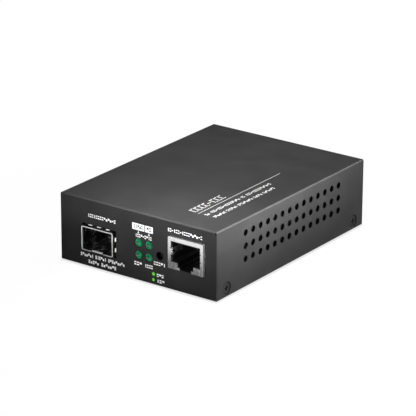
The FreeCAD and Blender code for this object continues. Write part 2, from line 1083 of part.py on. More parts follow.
# Card edge connector at the cage's rear
def make_host_connector():
    piece = Piece("sfp_host_connector")
    side = size.host_width / 2
    place = cage_x
    middle = board_top + size.card_slot_level
    slot = size.card_slot_width / 2
    piece.add(
        "block",
        "XY_Plane",
        board_top,
        board_top + size.host_height,
        lambda o: o.rectangle(place - side, place + side, host_front, host_rear),
    )
    piece.fillet("edges", size.cage_corner, lambda box: along(box, "Z"))
    tall = size.card_slot_height / 2 + size.host_contact_sheet
    piece.cut(
        "card_slot",
        "XZ_Plane",
        host_front,
        host_front + size.card_slot_depth,
        lambda o: o.rectangle(place - slot, place + slot, middle - tall, middle + tall),
    )
    # The rear is open above the solder tails
    piece.cut(
        "tail_bay",
        "YZ_Plane",
        place - slot,
        place + slot,
        lambda o: o.rectangle(
            host_rear - 1.5 * size.host_contact_sheet,
            host_rear,
            board_top,
            middle + tall,
        ),
    )
    return finish(piece)


make_host_connector()


# Contacts of the card edge connector: strips on the slot's roof and floor, with tails at its rear
def make_host_contacts():
    piece = Piece("sfp_contacts", loose=True)
    middle = board_top + size.card_slot_level
    tall = size.card_slot_height / 2
    thick = size.host_contact_sheet
    pitch = size.host_contact_pitch
    count = size.host_contact_count
    start = cage_x - pitch * (count - 1) / 2 - size.host_contact_width / 2
    deep = host_front + size.card_slot_depth
    strips = [
        piece.add(
            "strip",
            "YZ_Plane",
            start,
            start + size.host_contact_width,
            lambda o: o.rectangle(
                host_front + size.host_contact_setback, deep, middle + low, middle + low + thick
            ),
        )
        for low in (tall, -tall - thick)
    ]
    tail = piece.add(
        "tail",
        "YZ_Plane",
        start,
        start + size.host_contact_width,
        lambda o: o.polygon(
            [
                (host_rear - thick, board_top),
                (host_rear + 2 * thick, board_top),
                (host_rear + 2 * thick, board_top + thick),
                (host_rear, board_top + thick),
                (host_rear, middle + tall),
                (host_rear - thick, middle + tall),
            ]
        ),
    )
    piece.row("row", strips + [tail], "X_Axis", pitch * (count - 1), count)
    return finish(piece)


make_host_contacts()


# Outline of the plug window with its latch notch, down to a chosen bottom
def plug_window(outline, side, low, high, bottom, slack=0):
    place = jack_x
    step = size.notch_width / 2 + slack
    key = size.keyway_width / 2 + slack
    ledge = low - size.notch_drop
    outline.polygon(
        [
            (place - side, high),
            (place - side, low),
            (place - step, low),
            (place - step, ledge),
            (place - key, ledge),
            (place - key, bottom),
            (place + key, bottom),
            (place + key, ledge),
            (place + step, ledge),
            (place + step, low),
            (place + side, low),
            (place + side, high),
        ]
    )


# Profile of the jack from the side: a nose through the panel, and a body that stands on the board
def jack_profile(outline, inset, bottom, nose):
    outline.polygon(
        [
            (jack_face + inset, nose),
            (jack_step + inset, nose),
            (jack_step + inset, bottom),
            (jack_end - inset, bottom),
            (jack_end - inset, size.jack_top - inset),
            (jack_face + inset, size.jack_top - inset),
        ]
    )


# Shield of the twisted pair jack: one folded sheet, open below
def make_jack_shield():
    piece = Piece("rj45_shield")
    wall = size.jack_sheet
    low = board_top
    nose = size.jack_face_low
    piece.add("block", "YZ_Plane", jack_left, jack_right, lambda o: jack_profile(o, 0, low, nose))
    piece.fillet(
        "bends",
        2 * wall,
        lambda box: along(box, "Y") and lies(box, "Z", size.jack_top),
    )
    piece.cut(
        "inside",
        "YZ_Plane",
        jack_left + wall,
        jack_right - wall,
        lambda o: jack_profile(o, wall, low - wall, nose - wall),
    )
    piece.cut(
        "window",
        "XZ_Plane",
        jack_face,
        jack_face + wall,
        lambda o: plug_window(o, size.window_width / 2, size.window_low, size.window_high, nose - wall),
    )

    # Slots in the sides and the top leave narrow lugs that touch the panel's edge
    start = jack_face + size.jack_slot_setback
    end = start + size.jack_slot_length
    slot = size.jack_slot_width / 2
    reach = size.jack_slot_pitch * (size.jack_slot_count - 1)
    highest = size.jack_top - size.jack_slot_margin
    side_slot = piece.cut(
        "side_slot",
        "YZ_Plane",
        jack_left,
        jack_right,
        lambda o: o.rectangle(start, end, highest - reach - slot, highest - reach + slot),
    )
    piece.row("side_slots", [side_slot], "Z_Axis", reach, size.jack_slot_count)
    first = jack_x - reach / 2
    top_slot = piece.cut(
        "top_slot",
        "XY_Plane",
        size.jack_top - wall,
        size.jack_top,
        lambda o: o.rectangle(first - slot, first + slot, start, end),
    )
    piece.row("top_slots", [top_slot], "X_Axis", reach, size.jack_slot_count)

    # Two bowed tabs inside the window press on a shielded plug, each between two slits
    middle = (size.window_low + size.window_high) / 2
    slit = size.jack_tab_slit

    def slits(outline):
        for edge in (window_left, window_right):
            for turn in (-1, 1):
                place = middle + turn * (size.jack_spring_width + slit) / 2
                outline.rectangle(edge - slit, edge + slit, place - slit / 2, place + slit / 2)

    piece.cut("tab_slits", "XZ_Plane", jack_face, jack_face + wall, slits)
    bow = size.jack_spring_bow
    long = size.jack_spring_length
    for edge, inward in ((window_left, 1), (window_right, -1)):
        piece.add(
            "tab",
            "XY_Plane",
            middle - size.jack_spring_width / 2,
            middle + size.jack_spring_width / 2,
            lambda o: o.polygon(
                [
                    (edge, jack_face),
                    (edge + inward * bow, jack_face + 2 * bow),
                    (edge + inward * bow, jack_face + long / 2),
                    (edge, jack_face + long),
                    (edge - inward * wall, jack_face + long),
                    (edge - inward * wall, jack_face),
                ]
            ),
        )

    return finish(piece)


make_jack_shield()


# Moulded housing of the jack, with the plug's space, its latch notch and two pegs in the board
def make_jack_housing():
    piece = Piece("rj45_housing")
    wall = size.jack_sheet
    place = jack_x
    floor = board_top
    nose = size.jack_face_low
    piece.add(
        "block",
        "YZ_Plane",
        jack_left + wall,
        jack_right - wall,
        lambda o: jack_profile(o, wall, floor, nose),
    )
    back = jack_face + size.plug_depth
    side = plug_side
    piece.cut(
        "plug_space",
        "XZ_Plane",
        jack_face + wall,
        back,
        lambda o: o.rectangle(place - side, place + side, plug_low, plug_high),
    )
    piece.cut(
        "latch_notch",
        "XZ_Plane",
        jack_face + wall,
        back - wall * 2,
        lambda o: plug_window(o, side - wall, plug_low, plug_high - wall, nose + wall),
    )

    # Room for the shield's tabs
    middle = (size.window_low + size.window_high) / 2
    tall = size.jack_spring_width / 2 + wall
    deep = size.window_width / 2 + 2 * wall
    piece.cut(
        "tab_room",
        "XZ_Plane",
        jack_face + wall,
        jack_face + size.jack_spring_length + wall,
        lambda o: o.rectangle(place - deep, place + deep, middle - tall, middle + tall),
    )
    piece.add(
        "pegs",
        "XY_Plane",
        board_low,
        board_top,
        lambda o: [
            o.circle(place + turn * size.jack_peg_spread / 2, peg_place, size.jack_peg) for turn in (-1, 1)
        ],
    )
    return finish(piece)


make_jack_housing()


# Eight sprung wires that hang from the plug space's roof
def make_jack_contacts():
    piece = Piece("rj45_contacts", loose=True)
    wire = size.jack_contact_wire
    pitch = size.jack_contact_pitch
    count = size.jack_contact_count
    start = jack_x - pitch * (count - 1) / 2 - wire / 2
    near = jack_face + size.jack_contact_setback
    bend_at = near + size.jack_contact_run
    far = jack_face + size.plug_depth - 2 * wire
    drop = size.jack_contact_drop
    wire_piece = piece.add(
        "wire",
        "YZ_Plane",
        start,
        start + wire,
        lambda o: o.polygon(
            [
                (near, plug_high - wire),
                (bend_at, plug_high - wire),
                (far, plug_high - drop - wire),
                (far, plug_high - drop),
                (bend_at + wire, plug_high),
                (near, plug_high),
            ]
        ),
    )
    piece.row("row", [wire_piece], "X_Axis", pitch * (count - 1), count)
    return finish(piece)


make_jack_contacts()


# Four lamps: domed lenses that fill the panel's holes
def lamp_spots():
    for up, row_name in ((1, "upper"), (-1, "lower")):
        for across, side_name in ((-1, "left"), (1, "right")):
            x = lamp_x + across * size.lamp_spacing / 2
            z = size.lamp_level + up * size.lamp_row_spacing / 2
            yield f"{row_name}_{side_name}", x, z, up


def make_lamp(name, x, z):
    piece = Piece(name)
    end = lamp_front + size.lamp_length
    piece.add("barrel", "XZ_Plane", lamp_front, end, lambda o: o.circle(x, z, size.lamp_diameter))
    piece.fillet("dome", size.lamp_round, lambda box: lies(box, "Y", lamp_front))
    return finish(piece)


for spot, x, z, up in lamp_spots():
    make_lamp(f"lamp_{spot}", x, z)


# Holder that carries the four lamps behind the panel
def make_lamp_holder():
    piece = Piece("lamp_holder")
    side = size.lamp_spacing / 2 + size.lamp_diameter / 2 + size.holder_margin / 2
    crown = size.lamp_level + size.lamp_row_spacing / 2 + size.lamp_diameter / 2 + size.holder_margin / 2
    place = lamp_x
    piece.add(
        "block",
        "XY_Plane",
        board_top,
        crown,
        lambda o: o.rectangle(place - side, place + side, holder_front, holder_rear),
    )
    piece.fillet("edges", size.holder_margin / 4, lambda box: lies(box, "Z", crown) and along(box, "Y"))

    def sockets(outline):
        for _, x, z, _ in lamp_spots():
            outline.circle(x, z, size.lamp_diameter + size.thread_gap)

    lamp_end = lamp_front + size.lamp_length
    piece.cut("sockets", "XZ_Plane", holder_front, lamp_end, sockets)

    def wire_slots(outline):
        for _, x, z, _ in lamp_spots():
            wide = (size.lead_spread + size.lead_width) / 2 + size.thread_gap
            tall = size.lead_width / 2 + size.thread_gap
            outline.rectangle(x - wide, x + wide, z - tall, z + tall)

    piece.cut("wire_slots", "XZ_Plane", lamp_end, holder_rear, wire_slots)
    return finish(piece)


make_lamp_holder()


# Two bent wires from each lamp down to the board
def make_lamp_leads():
    piece = Piece("lamp_leads", loose=True)
    wire = size.lead_width
    start = lamp_front + size.lamp_length
    for name, x, z, up in lamp_spots():
        fall = holder_rear + size.lead_step * (2 + up) / 2
        for turn in (-1, 1):
            low = x + turn * size.lead_spread / 2 - wire / 2
            piece.add(
                f"{name}_lead",
                "YZ_Plane",
                low,
                low + wire,
                lambda o: o.polygon(
                    [
                        (start, z - wire / 2),
                        (fall, z - wire / 2),
                        (fall, board_top),
                        (fall + wire, board_top),
                        (fall + wire, z + wire / 2),
                        (start, z + wire / 2),
                    ]
                ),
            )
    return finish(piece)


make_lamp_leads()


# Reset switch: a body with a chamber, a bracket that stands it on the board, and the plunger
def make_switch():
    piece = Piece("reset_switch_body")
    side = size.switch_width / 2
    x, z = reset_x, size.reset_level
    back = switch_front + size.switch_depth
    piece.add(
        "block",
        "XZ_Plane",
        switch_front,
        back,
        lambda o: o.rectangle(x - side, x + side, z - side, z + side),
    )
    piece.fillet("corners", size.switch_wall / 2, lambda box: along(box, "Y"))
    chamber = switch_front + size.switch_wall
    room = size.plunger_flange_thickness + 2 * size.plunger_travel
    gap = 2 * size.plunger_gap
    piece.cut(
        "throat", "XZ_Plane", switch_front, chamber, lambda o: o.circle(x, z, size.plunger_diameter + gap)
    )
    piece.cut(
        "chamber",
        "XZ_Plane",
        chamber,
        chamber + room,
        lambda o: o.circle(x, z, size.plunger_flange + 2 * gap),
    )
    return finish(piece)


def make_plunger():
    piece = Piece("reset_plunger")
    x, z = reset_x, size.reset_level
    seat = switch_front + size.switch_wall + size.plunger_gap
    piece.add("stem", "XZ_Plane", plunger_front, seat, lambda o: o.circle(x, z, size.plunger_diameter))
    piece.add(
        "flange",
        "XZ_Plane",
        seat,
        seat + size.plunger_flange_thickness,
        lambda o: o.circle(x, z, size.plunger_flange),
    )
    piece.chamfer("tip", size.plunger_edge, lambda box: lies(box, "Y", plunger_front))
    return finish(piece)


def make_switch_bracket():
    piece = Piece("reset_switch_bracket")
    side = size.switch_width / 2
    wall = size.bracket_sheet
    x, z = reset_x, size.reset_level
    back = switch_front + size.switch_depth

    # A strap over the body's roof and flanks, with feet on the board
    piece.add(
        "strap",
        "XZ_Plane",
        switch_front + size.switch_wall,
        back,
        lambda o: o.polygon(
            [
                (x - side - wall, board_top),
                (x - side, board_top),
                (x - side, z + side),
                (x + side, z + side),
                (x + side, board_top),
                (x + side + wall, board_top),
                (x + side + wall, z + side + wall),
                (x - side - wall, z + side + wall),
            ]
        ),
    )
    # A shelf under the body
    piece.add(
        "shelf",
        "XZ_Plane",
        switch_front + size.switch_wall,
        back,
        lambda o: o.rectangle(x - side, x + side, z - side - wall, z - side),
    )
    return finish(piece)


make_switch()
make_plunger()
make_switch_bracket()


# Power inlet: a moulded housing with a round socket, its centre pin and its side spring
def make_inlet():
    piece = Piece("power_inlet_housing")
    side = size.inlet_width / 2
    x = inlet_x
    crown = board_top + size.inlet_height
    piece.add(
        "block",
        "XZ_Plane",
        inlet_front,
        inlet_face,
        lambda o: o.rectangle(x - side, x + side, board_top, crown),
    )
    piece.fillet("crown", size.inlet_round, lambda box: along(box, "Y") and lies(box, "Z", crown))
    piece.cut(
        "socket",
        "XZ_Plane",
        inlet_face - size.inlet_bore_depth,
        inlet_face,
        lambda o: o.circle(x, inlet_axis, size.inlet_bore),
    )
    wide = size.inlet_spring_width / 2 + size.thread_gap
    bore = size.inlet_bore / 2
    piece.cut(
        "spring_slot",
        "XY_Plane",
        board_top,
        inlet_axis - bore + size.inlet_spring_sheet,
        lambda o: o.rectangle(
            x - wide, x + wide, inlet_face - size.inlet_bore_depth, inlet_face - size.inlet_bore_depth / 3
        ),
    )
    return finish(piece)


def make_inlet_pin():
    piece = Piece("power_inlet_pin")
    piece.add(
        "pin",
        "XZ_Plane",
        inlet_face - size.inlet_bore_depth,
        inlet_face - size.inlet_pin_setback,
        lambda o: o.circle(inlet_x, inlet_axis, size.inlet_pin),
    )
    piece.chamfer(
        "tip", size.inlet_pin_edge, lambda box: lies(box, "Y", inlet_face - size.inlet_pin_setback)
    )
    return finish(piece)


def make_inlet_spring():
    piece = Piece("power_inlet_spring")
    wide = size.inlet_spring_width / 2
    x = inlet_x
    base = inlet_axis - size.inlet_bore / 2
    deep = inlet_face - size.inlet_bore_depth
    thick = size.inlet_spring_sheet
    piece.add(
        "strip",
        "YZ_Plane",
        x - wide,
        x + wide,
        lambda o: o.polygon(
            [
                (deep, board_top),
                (deep + thick, board_top),
                (deep + thick, base),
                (deep + size.inlet_bore_depth / 2, base),
                (deep + size.inlet_bore_depth / 2, base + thick),
                (deep, base + thick),
            ]
        ),
    )
    return finish(piece)


make_inlet()
make_inlet_pin()
make_inlet_spring()


# Flat parts soldered on the board: a rounded or plain block at X and Y
def make_block(label, x, y, wide, long, tall, round_edge=None):
    piece = Piece(label)
    piece.add(
        "block",
        "XY_Plane",
        board_top,
        board_top + tall,
        lambda o: o.rectangle(x - wide / 2, x + wide / 2, y - long / 2, y + long / 2),
    )
    if round_edge:
        piece.fillet("corners", round_edge, lambda box: along(box, "Z"))
    return piece


# Bent leads along a chip's left and right sides
def add_leads(piece, x, y, wide, tall, count):
    lead = size.chip_lead_width
    pitch = size.chip_lead_pitch
    start = y - pitch * (count - 1) / 2 - lead / 2
    reach = size.chip_lead_reach
    thick = tall / 6
    first = piece.add(
        "lead",
        "XZ_Plane",
        start,
        start + lead,
        lambda o: o.polygon(
            [
                (x + wide / 2, board_top + tall / 3),
                (x + wide / 2 + reach / 2 - thick, board_top + tall / 3),
                (x + wide / 2 + reach / 2 - thick, board_top),
                (x + wide / 2 + reach, board_top),
                (x + wide / 2 + reach, board_top + thick),
                (x + wide / 2 + reach / 2, board_top + thick),
                (x + wide / 2 + reach / 2, board_top + tall / 3 + thick),
                (x + wide / 2, board_top + tall / 3 + thick),
            ]
        ),
    )
    other = piece.add(
        "lead",
        "XZ_Plane",
        start,
        start + lead,
        lambda o: o.polygon(
            [
                (x - wide / 2, board_top + tall / 3),
                (x - wide / 2 - reach / 2 + thick, board_top + tall / 3),
                (x - wide / 2 - reach / 2 + thick, board_top),
                (x - wide / 2 - reach, board_top),
                (x - wide / 2 - reach, board_top + thick),
                (x - wide / 2 - reach / 2, board_top + thick),
                (x - wide / 2 - reach / 2, board_top + tall / 3 + thick),
                (x - wide / 2, board_top + tall / 3 + thick),
            ]
        ),
    )
    piece.row("leads", [first, other], "Y_Axis", pitch * (count - 1), count)


# A chip with leads along both sides
def make_chip(label, x, y, wide, long, tall, lead_tall, count):
    piece = make_block(label, x, y, wide, long, tall, size.chip_corner)
    add_leads(piece, x, y, wide, lead_tall, count)
    return finish(piece)


# Behind the jack and the lamps: the line transformer and the two main chips
screw_side = post_x - size.board_screw_head / 2
transformer_x = screw_side - size.transformer_width / 2 - 2 * size.chip_lead_reach
make_chip(
    "lan_transformer",
    transformer_x,
    jack_end + size.part_gap + size.transformer_length / 2,
    size.transformer_width,
    size.transformer_length,
    size.transformer_height,
    size.flash_height,
    size.chip_lead_count,
)
phy_x = lamp_x
phy_y = cage_end - size.part_gap - size.phy_width / 2
make_chip(
    "phy_chip",
    phy_x,
    phy_y,
    size.phy_width,
    size.phy_width,
    size.phy_height,
    size.phy_height,
    size.phy_lead_count,
)
chip_x = transformer_x
chip_y = cage_end + size.part_gap + size.chip_width / 2
make_chip(
    "switch_chip",
    chip_x,
    chip_y,
    size.chip_width,
    size.chip_width,
    size.chip_height,
    size.chip_height,
    size.chip_lead_count,
)

# Left of the switch chip: its clock crystal and its memory chip
beside_x = chip_x - size.chip_width / 2 - size.chip_lead_reach - size.part_gap
flash_x = beside_x - size.flash_width / 2 - size.chip_lead_reach
make_chip(
    "flash_chip",
    flash_x,
    chip_y - size.chip_width / 2 + size.flash_length / 2,
    size.flash_width,
    size.flash_length,
    size.flash_height,
    size.flash_height,
    size.flash_lead_count,
)
crystal = make_block(
    "clock_crystal",
    beside_x - size.crystal_length / 2,
    chip_y + size.chip_width / 2 - size.crystal_width / 2,
    size.crystal_length,
    size.crystal_width,
    size.crystal_height,
    size.crystal_width / 2 - size.part_gap / 4,
)
finish(crystal)


# Power stage between the inlet and the chips
def make_capacitor(label, x, y):
    piece = make_block(
        label, x, y, size.capacitor_diameter, size.capacitor_diameter, size.capacitor_foot, size.chip_corner
    )
    piece.add(
        "can",
        "XY_Plane",
        board_top,
        board_top + size.capacitor_height,
        lambda o: o.circle(x, y, size.capacitor_diameter - 2 * size.thread_gap),
    )
    piece.chamfer("crown", size.capacitor_edge, lambda box: lies(box, "Z", board_top + size.capacitor_height))
    return finish(piece)


stage_x = inlet_x + size.inlet_width / 2 + size.part_gap + size.capacitor_diameter / 2
stage_y = board_rear - size.part_gap - size.capacitor_diameter / 2
stage_step = size.capacitor_diameter + size.part_gap
make_capacitor("input_capacitor", stage_x, stage_y)
make_capacitor("output_capacitor", stage_x + stage_step, stage_y)
inductor_y = stage_y - stage_step - size.inductor_width / 2
inductor = make_block(
    "power_inductor",
    stage_x,
    inductor_y,
    size.inductor_width,
    size.inductor_width,
    size.inductor_height,
    size.inductor_width / 6,
)
inductor.cut(
    "crown_ring",
    "XY_Plane",
    board_top + size.inductor_height - size.bracket_sheet,
    board_top + size.inductor_height,
    lambda o: [
        o.circle(stage_x, inductor_y, size.inductor_core),
        o.circle(stage_x, inductor_y, size.inductor_core - size.part_gap),
    ],
)
finish(inductor)
make_chip(
    "voltage_regulator",
    stage_x - size.inductor_width - size.part_gap - size.chip_lead_reach,
    inductor_y,
    size.flash_width,
    size.flash_length,
    size.flash_height,
    size.flash_height,
    size.flash_lead_count,
)


# A row of chip resistors behind the transformer's leads
def make_resistors():
    piece = Piece("chip_resistors", loose=True)
    start = chip_x - size.resistor_pitch * (size.resistor_count - 1) / 2 - size.resistor_width / 2
    y = chip_y + size.chip_width / 2 + size.part_gap
    first = piece.add(
        "resistor",
        "XY_Plane",
        board_top,
        board_top + size.resistor_height,
        lambda o: o.rectangle(start, start + size.resistor_width, y, y + size.resistor_length),
    )
    piece.row("row", [first], "X_Axis", size.resistor_pitch * (size.resistor_count - 1), size.resistor_count)
    return finish(piece)


make_resistors()

# Check and write
doc.recompute()
for item in doc.Objects:
    if "Invalid" in item.State or "Error" in item.State:
        raise ValueError(f"{item.Name} failed: {item.State}")
os.makedirs("parts", exist_ok=True)
for node in nodes:
    if node.Shape.isNull() or not node.Shape.isValid():
        raise ValueError(f"{node.Label} has no sound shape")
    node.Shape.exportStep(f"parts/{node.Label}.step")
    print(node.Label, len(node.Shape.Solids), round(node.Shape.Volume, 1))
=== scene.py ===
import bpy
import bmesh
import math
from mathutils import Matrix, Vector


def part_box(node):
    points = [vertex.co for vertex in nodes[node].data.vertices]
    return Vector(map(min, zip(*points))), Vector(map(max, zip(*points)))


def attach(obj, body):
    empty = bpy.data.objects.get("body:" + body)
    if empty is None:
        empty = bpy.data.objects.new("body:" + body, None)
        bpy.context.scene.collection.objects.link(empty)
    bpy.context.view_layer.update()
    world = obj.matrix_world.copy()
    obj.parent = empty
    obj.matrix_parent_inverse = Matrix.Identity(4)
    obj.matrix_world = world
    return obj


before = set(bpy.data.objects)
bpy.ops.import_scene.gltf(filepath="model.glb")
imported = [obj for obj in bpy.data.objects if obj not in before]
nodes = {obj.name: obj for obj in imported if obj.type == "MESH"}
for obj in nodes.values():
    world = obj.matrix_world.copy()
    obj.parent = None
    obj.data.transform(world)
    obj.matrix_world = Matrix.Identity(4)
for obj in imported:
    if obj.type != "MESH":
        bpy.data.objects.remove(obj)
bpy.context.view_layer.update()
mm = 0.001
print("frame loaded:", len(nodes), "nodes")


# Shader maths written as expressions: one output socket with the operators that are used
class Wire:
    def __init__(self, finish, socket):
        self.finish = finish
        self.socket = socket

    def maths(self, operation, *values):
        return self.finish.node("ShaderNodeMath", {"operation": operation}, dict(enumerate(values)))

    def __add__(self, other):
        return self.maths("ADD", self, other)

    def __radd__(self, other):
        return self.maths("ADD", other, self)

    def __sub__(self, other):
        return self.maths("SUBTRACT", self, other)

    def __rsub__(self, other):
        return self.maths("SUBTRACT", other, self)

    def __mul__(self, other):
        return self.maths("MULTIPLY", self, other)

    def __rmul__(self, other):
        return self.maths("MULTIPLY", other, self)

    def __truediv__(self, other):
        return self.maths("DIVIDE", self, other)

    def __gt__(self, other):
        return self.maths("GREATER_THAN", self, other)

    def __lt__(self, other):
        return self.maths("LESS_THAN", self, other)

    def __abs__(self):
        return self.maths("ABSOLUTE", self)

    def __mod__(self, other):
        return self.maths("MODULO", self, other)

    def power(self, other):
        return self.maths("POWER", self, other)

    def larger(self, other):
        return self.maths("MAXIMUM", self, other)

    def smaller(self, other):
        return self.maths("MINIMUM", self, other)


# One material's nodes
class Finish:
    def __init__(self, name):
        self.material = bpy.data.materials.new(name)
        self.material.use_nodes = True
        self.tree = self.material.node_tree
        self.tree.nodes.clear()
        self.spot = None

    # Any node: its settings come first, then the values or links of its sockets
    def node(self, kind, settings=None, sockets=None, out=0):
        made = self.tree.nodes.new(kind)
        for name, value in (settings or {}).items():
            if name == "stops":
                ramp = made.color_ramp
                for place, _ in value[1:-1]:
                    ramp.elements.new(place)
                for element, (place, colour) in zip(ramp.elements, value):
                    element.position = place
                    element.color = (*colour, 1)
            else:
                setattr(made, name, value)
        for name, value in (sockets or {}).items():
            socket = made.inputs[name]
            if isinstance(value, Wire):
                self.tree.links.new(value.socket, socket)
            elif hasattr(value, "__len__") and len(value) == 3 and len(socket.default_value) == 4:
                socket.default_value = (*value, 1)
            else:
                socket.default_value = value
        return Wire(self, made.outputs[out] if made.outputs else None)

    # Place on the object in millimetres, as a vector and as its three parts
    def place(self):
        if self.spot is None:
            metres = self.node("ShaderNodeTexCoord", out=3)
            sockets = {0: metres, "Scale": 1 / mm}
            self.spot = self.node("ShaderNodeVectorMath", {"operation": "SCALE"}, sockets)
        return self.spot

    def parts(self):
        split = self.node("ShaderNodeSeparateXYZ", {}, {0: self.place()}).socket.node
        return [Wire(self, split.outputs[n]) for n in range(3)]

    # Noise of a size in millimetres, a detail and a roughness; a stretch below 1 draws it out
    # along that axis
    def noise(self, size, detail=2.0, roughness=0.5, stretch=None):
        vector = self.place()
        if stretch:
            sockets = {0: vector, 1: stretch}
            vector = self.node("ShaderNodeVectorMath", {"operation": "MULTIPLY"}, sockets)
        sockets = {"Vector": vector, "Scale": 1 / size, "Detail": detail, "Roughness": roughness}
        return self.node("ShaderNodeTexNoise", {}, sockets)

    def ramp(self, factor, stops):
        return self.node("ShaderNodeValToRGB", {"stops": stops}, {0: factor})

    def between(self, value, low, high, newLow=0.0, newHigh=1.0):
        sockets = {"Value": value, 1: low, 2: high, 3: newLow, 4: newHigh}
        return self.node("ShaderNodeMapRange", {"clamp": True}, sockets)

    def mix(self, factor, first, second):
        sockets = {0: factor, 6: first, 7: second}
        return self.node("ShaderNodeMix", {"data_type": "RGBA"}, sockets, 2)

    # Relief of a strength and a height in metres
    def bump(self, pattern, strength, height, normal=None):
        sockets = {"Height": pattern, "Strength": strength, "Distance": height}
        if normal:
            sockets["Normal"] = normal
        return self.node("ShaderNodeBump", {}, sockets)

    # From a piece's values: its dark and light tone in soft blotches, its roughness from one
    # end to the other, and its fine relief
    def blotch(self, pattern, values):
        spread = values.get("spread", (0.35, 0.65))
        return self.mix(self.between(pattern, *spread), values["dark"], values["light"])

    def gloss(self, pattern, values):
        return self.between(pattern, 0.3, 0.7, *values["roughness"])

    def relief(self, pattern, values):
        return self.bump(pattern, *values["relief"])

    # The shader itself, and its way out
    def done(self, **sockets):
        named = {name.replace("_", " "): value for name, value in sockets.items()}
        shader = self.node("ShaderNodeBsdfPrincipled", {}, named)
        self.node("ShaderNodeOutputMaterial", {}, {"Surface": shader})
        return self.material


# Gives a carried-over piece its finish
def dress(finish, *names):
    for name in names:
        slots = nodes[name].data.materials
        if len(slots):
            for n in range(len(slots)):
                slots[n] = finish
        else:
            slots.append(finish)


# Outer faces of the case in millimetres
caseLow = Vector((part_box("cover")[0].x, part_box("cover")[0].y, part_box("base")[0].z)) / mm
caseHigh = Vector((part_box("cover")[1].x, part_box("base")[1].y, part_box("cover")[1].z)) / mm


# Satin powder coat on the folded case: an even orange peel with faint clouding.
# Behind the outer faces, as in the holes and on the inside, it turns dark with painted shade and
# dull from a shallow to a deep place, and away from the folds it does so sooner, by what
# sharper says.
# The folds of the top are painted lighter, as a painted highlight.
def powderCoat(name, shallow, deep, sharper):
    coat = {
        "dark": (0.0246, 0.0246, 0.0246),
        "light": (0.0325, 0.0325, 0.0325),
        # painted highlight on the folds of the top
        "edge": (0.043, 0.043, 0.043),
        # painted shade in the holes and on the inside
        "hollowShade": (0.002, 0.002, 0.002),
        "roughness": (0.42, 0.53),
        "hollowShadeRoughness": 0.4,
        "shine": 0.06,
        "foldZone": 0.55,
        "foldHighlightHeight": 0.5,
        "grain": (0.22, 3.0, 0.62),
        "cloud": (9.0, 3.0, 0.55),
        "speck": (0.09, 1.0, 0.5),
        "peel": (0.16, 0.00005),
        "fine": (0.10, 0.00003),
    }
    f = Finish(name)
    x, y, z = f.parts()
    aside, ahead, below = (x - caseLow.x).smaller(caseHigh.x - x), y - caseLow.y, caseHigh.z - z
    depth = aside.smaller(ahead).smaller(below).smaller(caseHigh.y - y).smaller(z - caseLow.z)
    zone = coat["foldZone"]
    flat = (aside > zone) + (ahead > zone) + (below > zone) > 1.5  # clear of two faces out of three
    # painted shade: the coat darkens from a shallow to a deep place
    paintedHollowShade = f.between(depth, shallow - flat * sharper, deep - flat * sharper * 2)
    # painted highlight along the folds of the top
    edge = (1 - flat) * (below < coat["foldHighlightHeight"])
    grain = f.noise(*coat["grain"])
    cloud = f.noise(*coat["cloud"])
    speck = f.noise(*coat["speck"])
    colour = f.mix(edge, f.blotch(cloud * 0.6 + grain * 0.4, coat), coat["edge"])
    peel = f.bump(grain, *coat["peel"])
    return f.done(
        Base_Color=f.mix(paintedHollowShade, colour, coat["hollowShade"]),
        Roughness=f.gloss(grain * 0.7 + cloud * 0.3, coat) + paintedHollowShade * coat["hollowShadeRoughness"],
        Specular_IOR_Level=coat["shine"],
        Normal=f.bump(speck, *coat["fine"], peel),
    )


dress(powderCoat("coverCoat", 0.15, 0.35, 0.13), "cover")
dress(powderCoat("baseCoat", 0.55, 0.75, 0.0), "base")


# Bright nickel plate on the jack's folded shield, drawn downwards
def nickelPlate():
    plate = {
        "dark": (0.72, 0.72, 0.72),
        "light": (0.88, 0.88, 0.88),
        "roughness": (0.09, 0.27),
        "metallic": 0.92,
        "drawn": (0.5, 3.0, 0.6, (1.0, 1.0, 0.08)),
        "cloud": (2.5, 3.0, 0.6),
        "relief": (0.08, 0.00003),
    }
    f = Finish("nickelPlate")
    drawn = f.noise(*plate["drawn"])
    cloud = f.noise(*plate["cloud"])
    return f.done(
        Base_Color=f.blotch(cloud * 0.65 + drawn * 0.35, plate),
        Metallic=plate["metallic"],
        Roughness=f.gloss(drawn * 0.5 + cloud * 0.5, plate),
        Normal=f.relief(drawn, plate),
    )


dress(nickelPlate(), "rj45_shield")
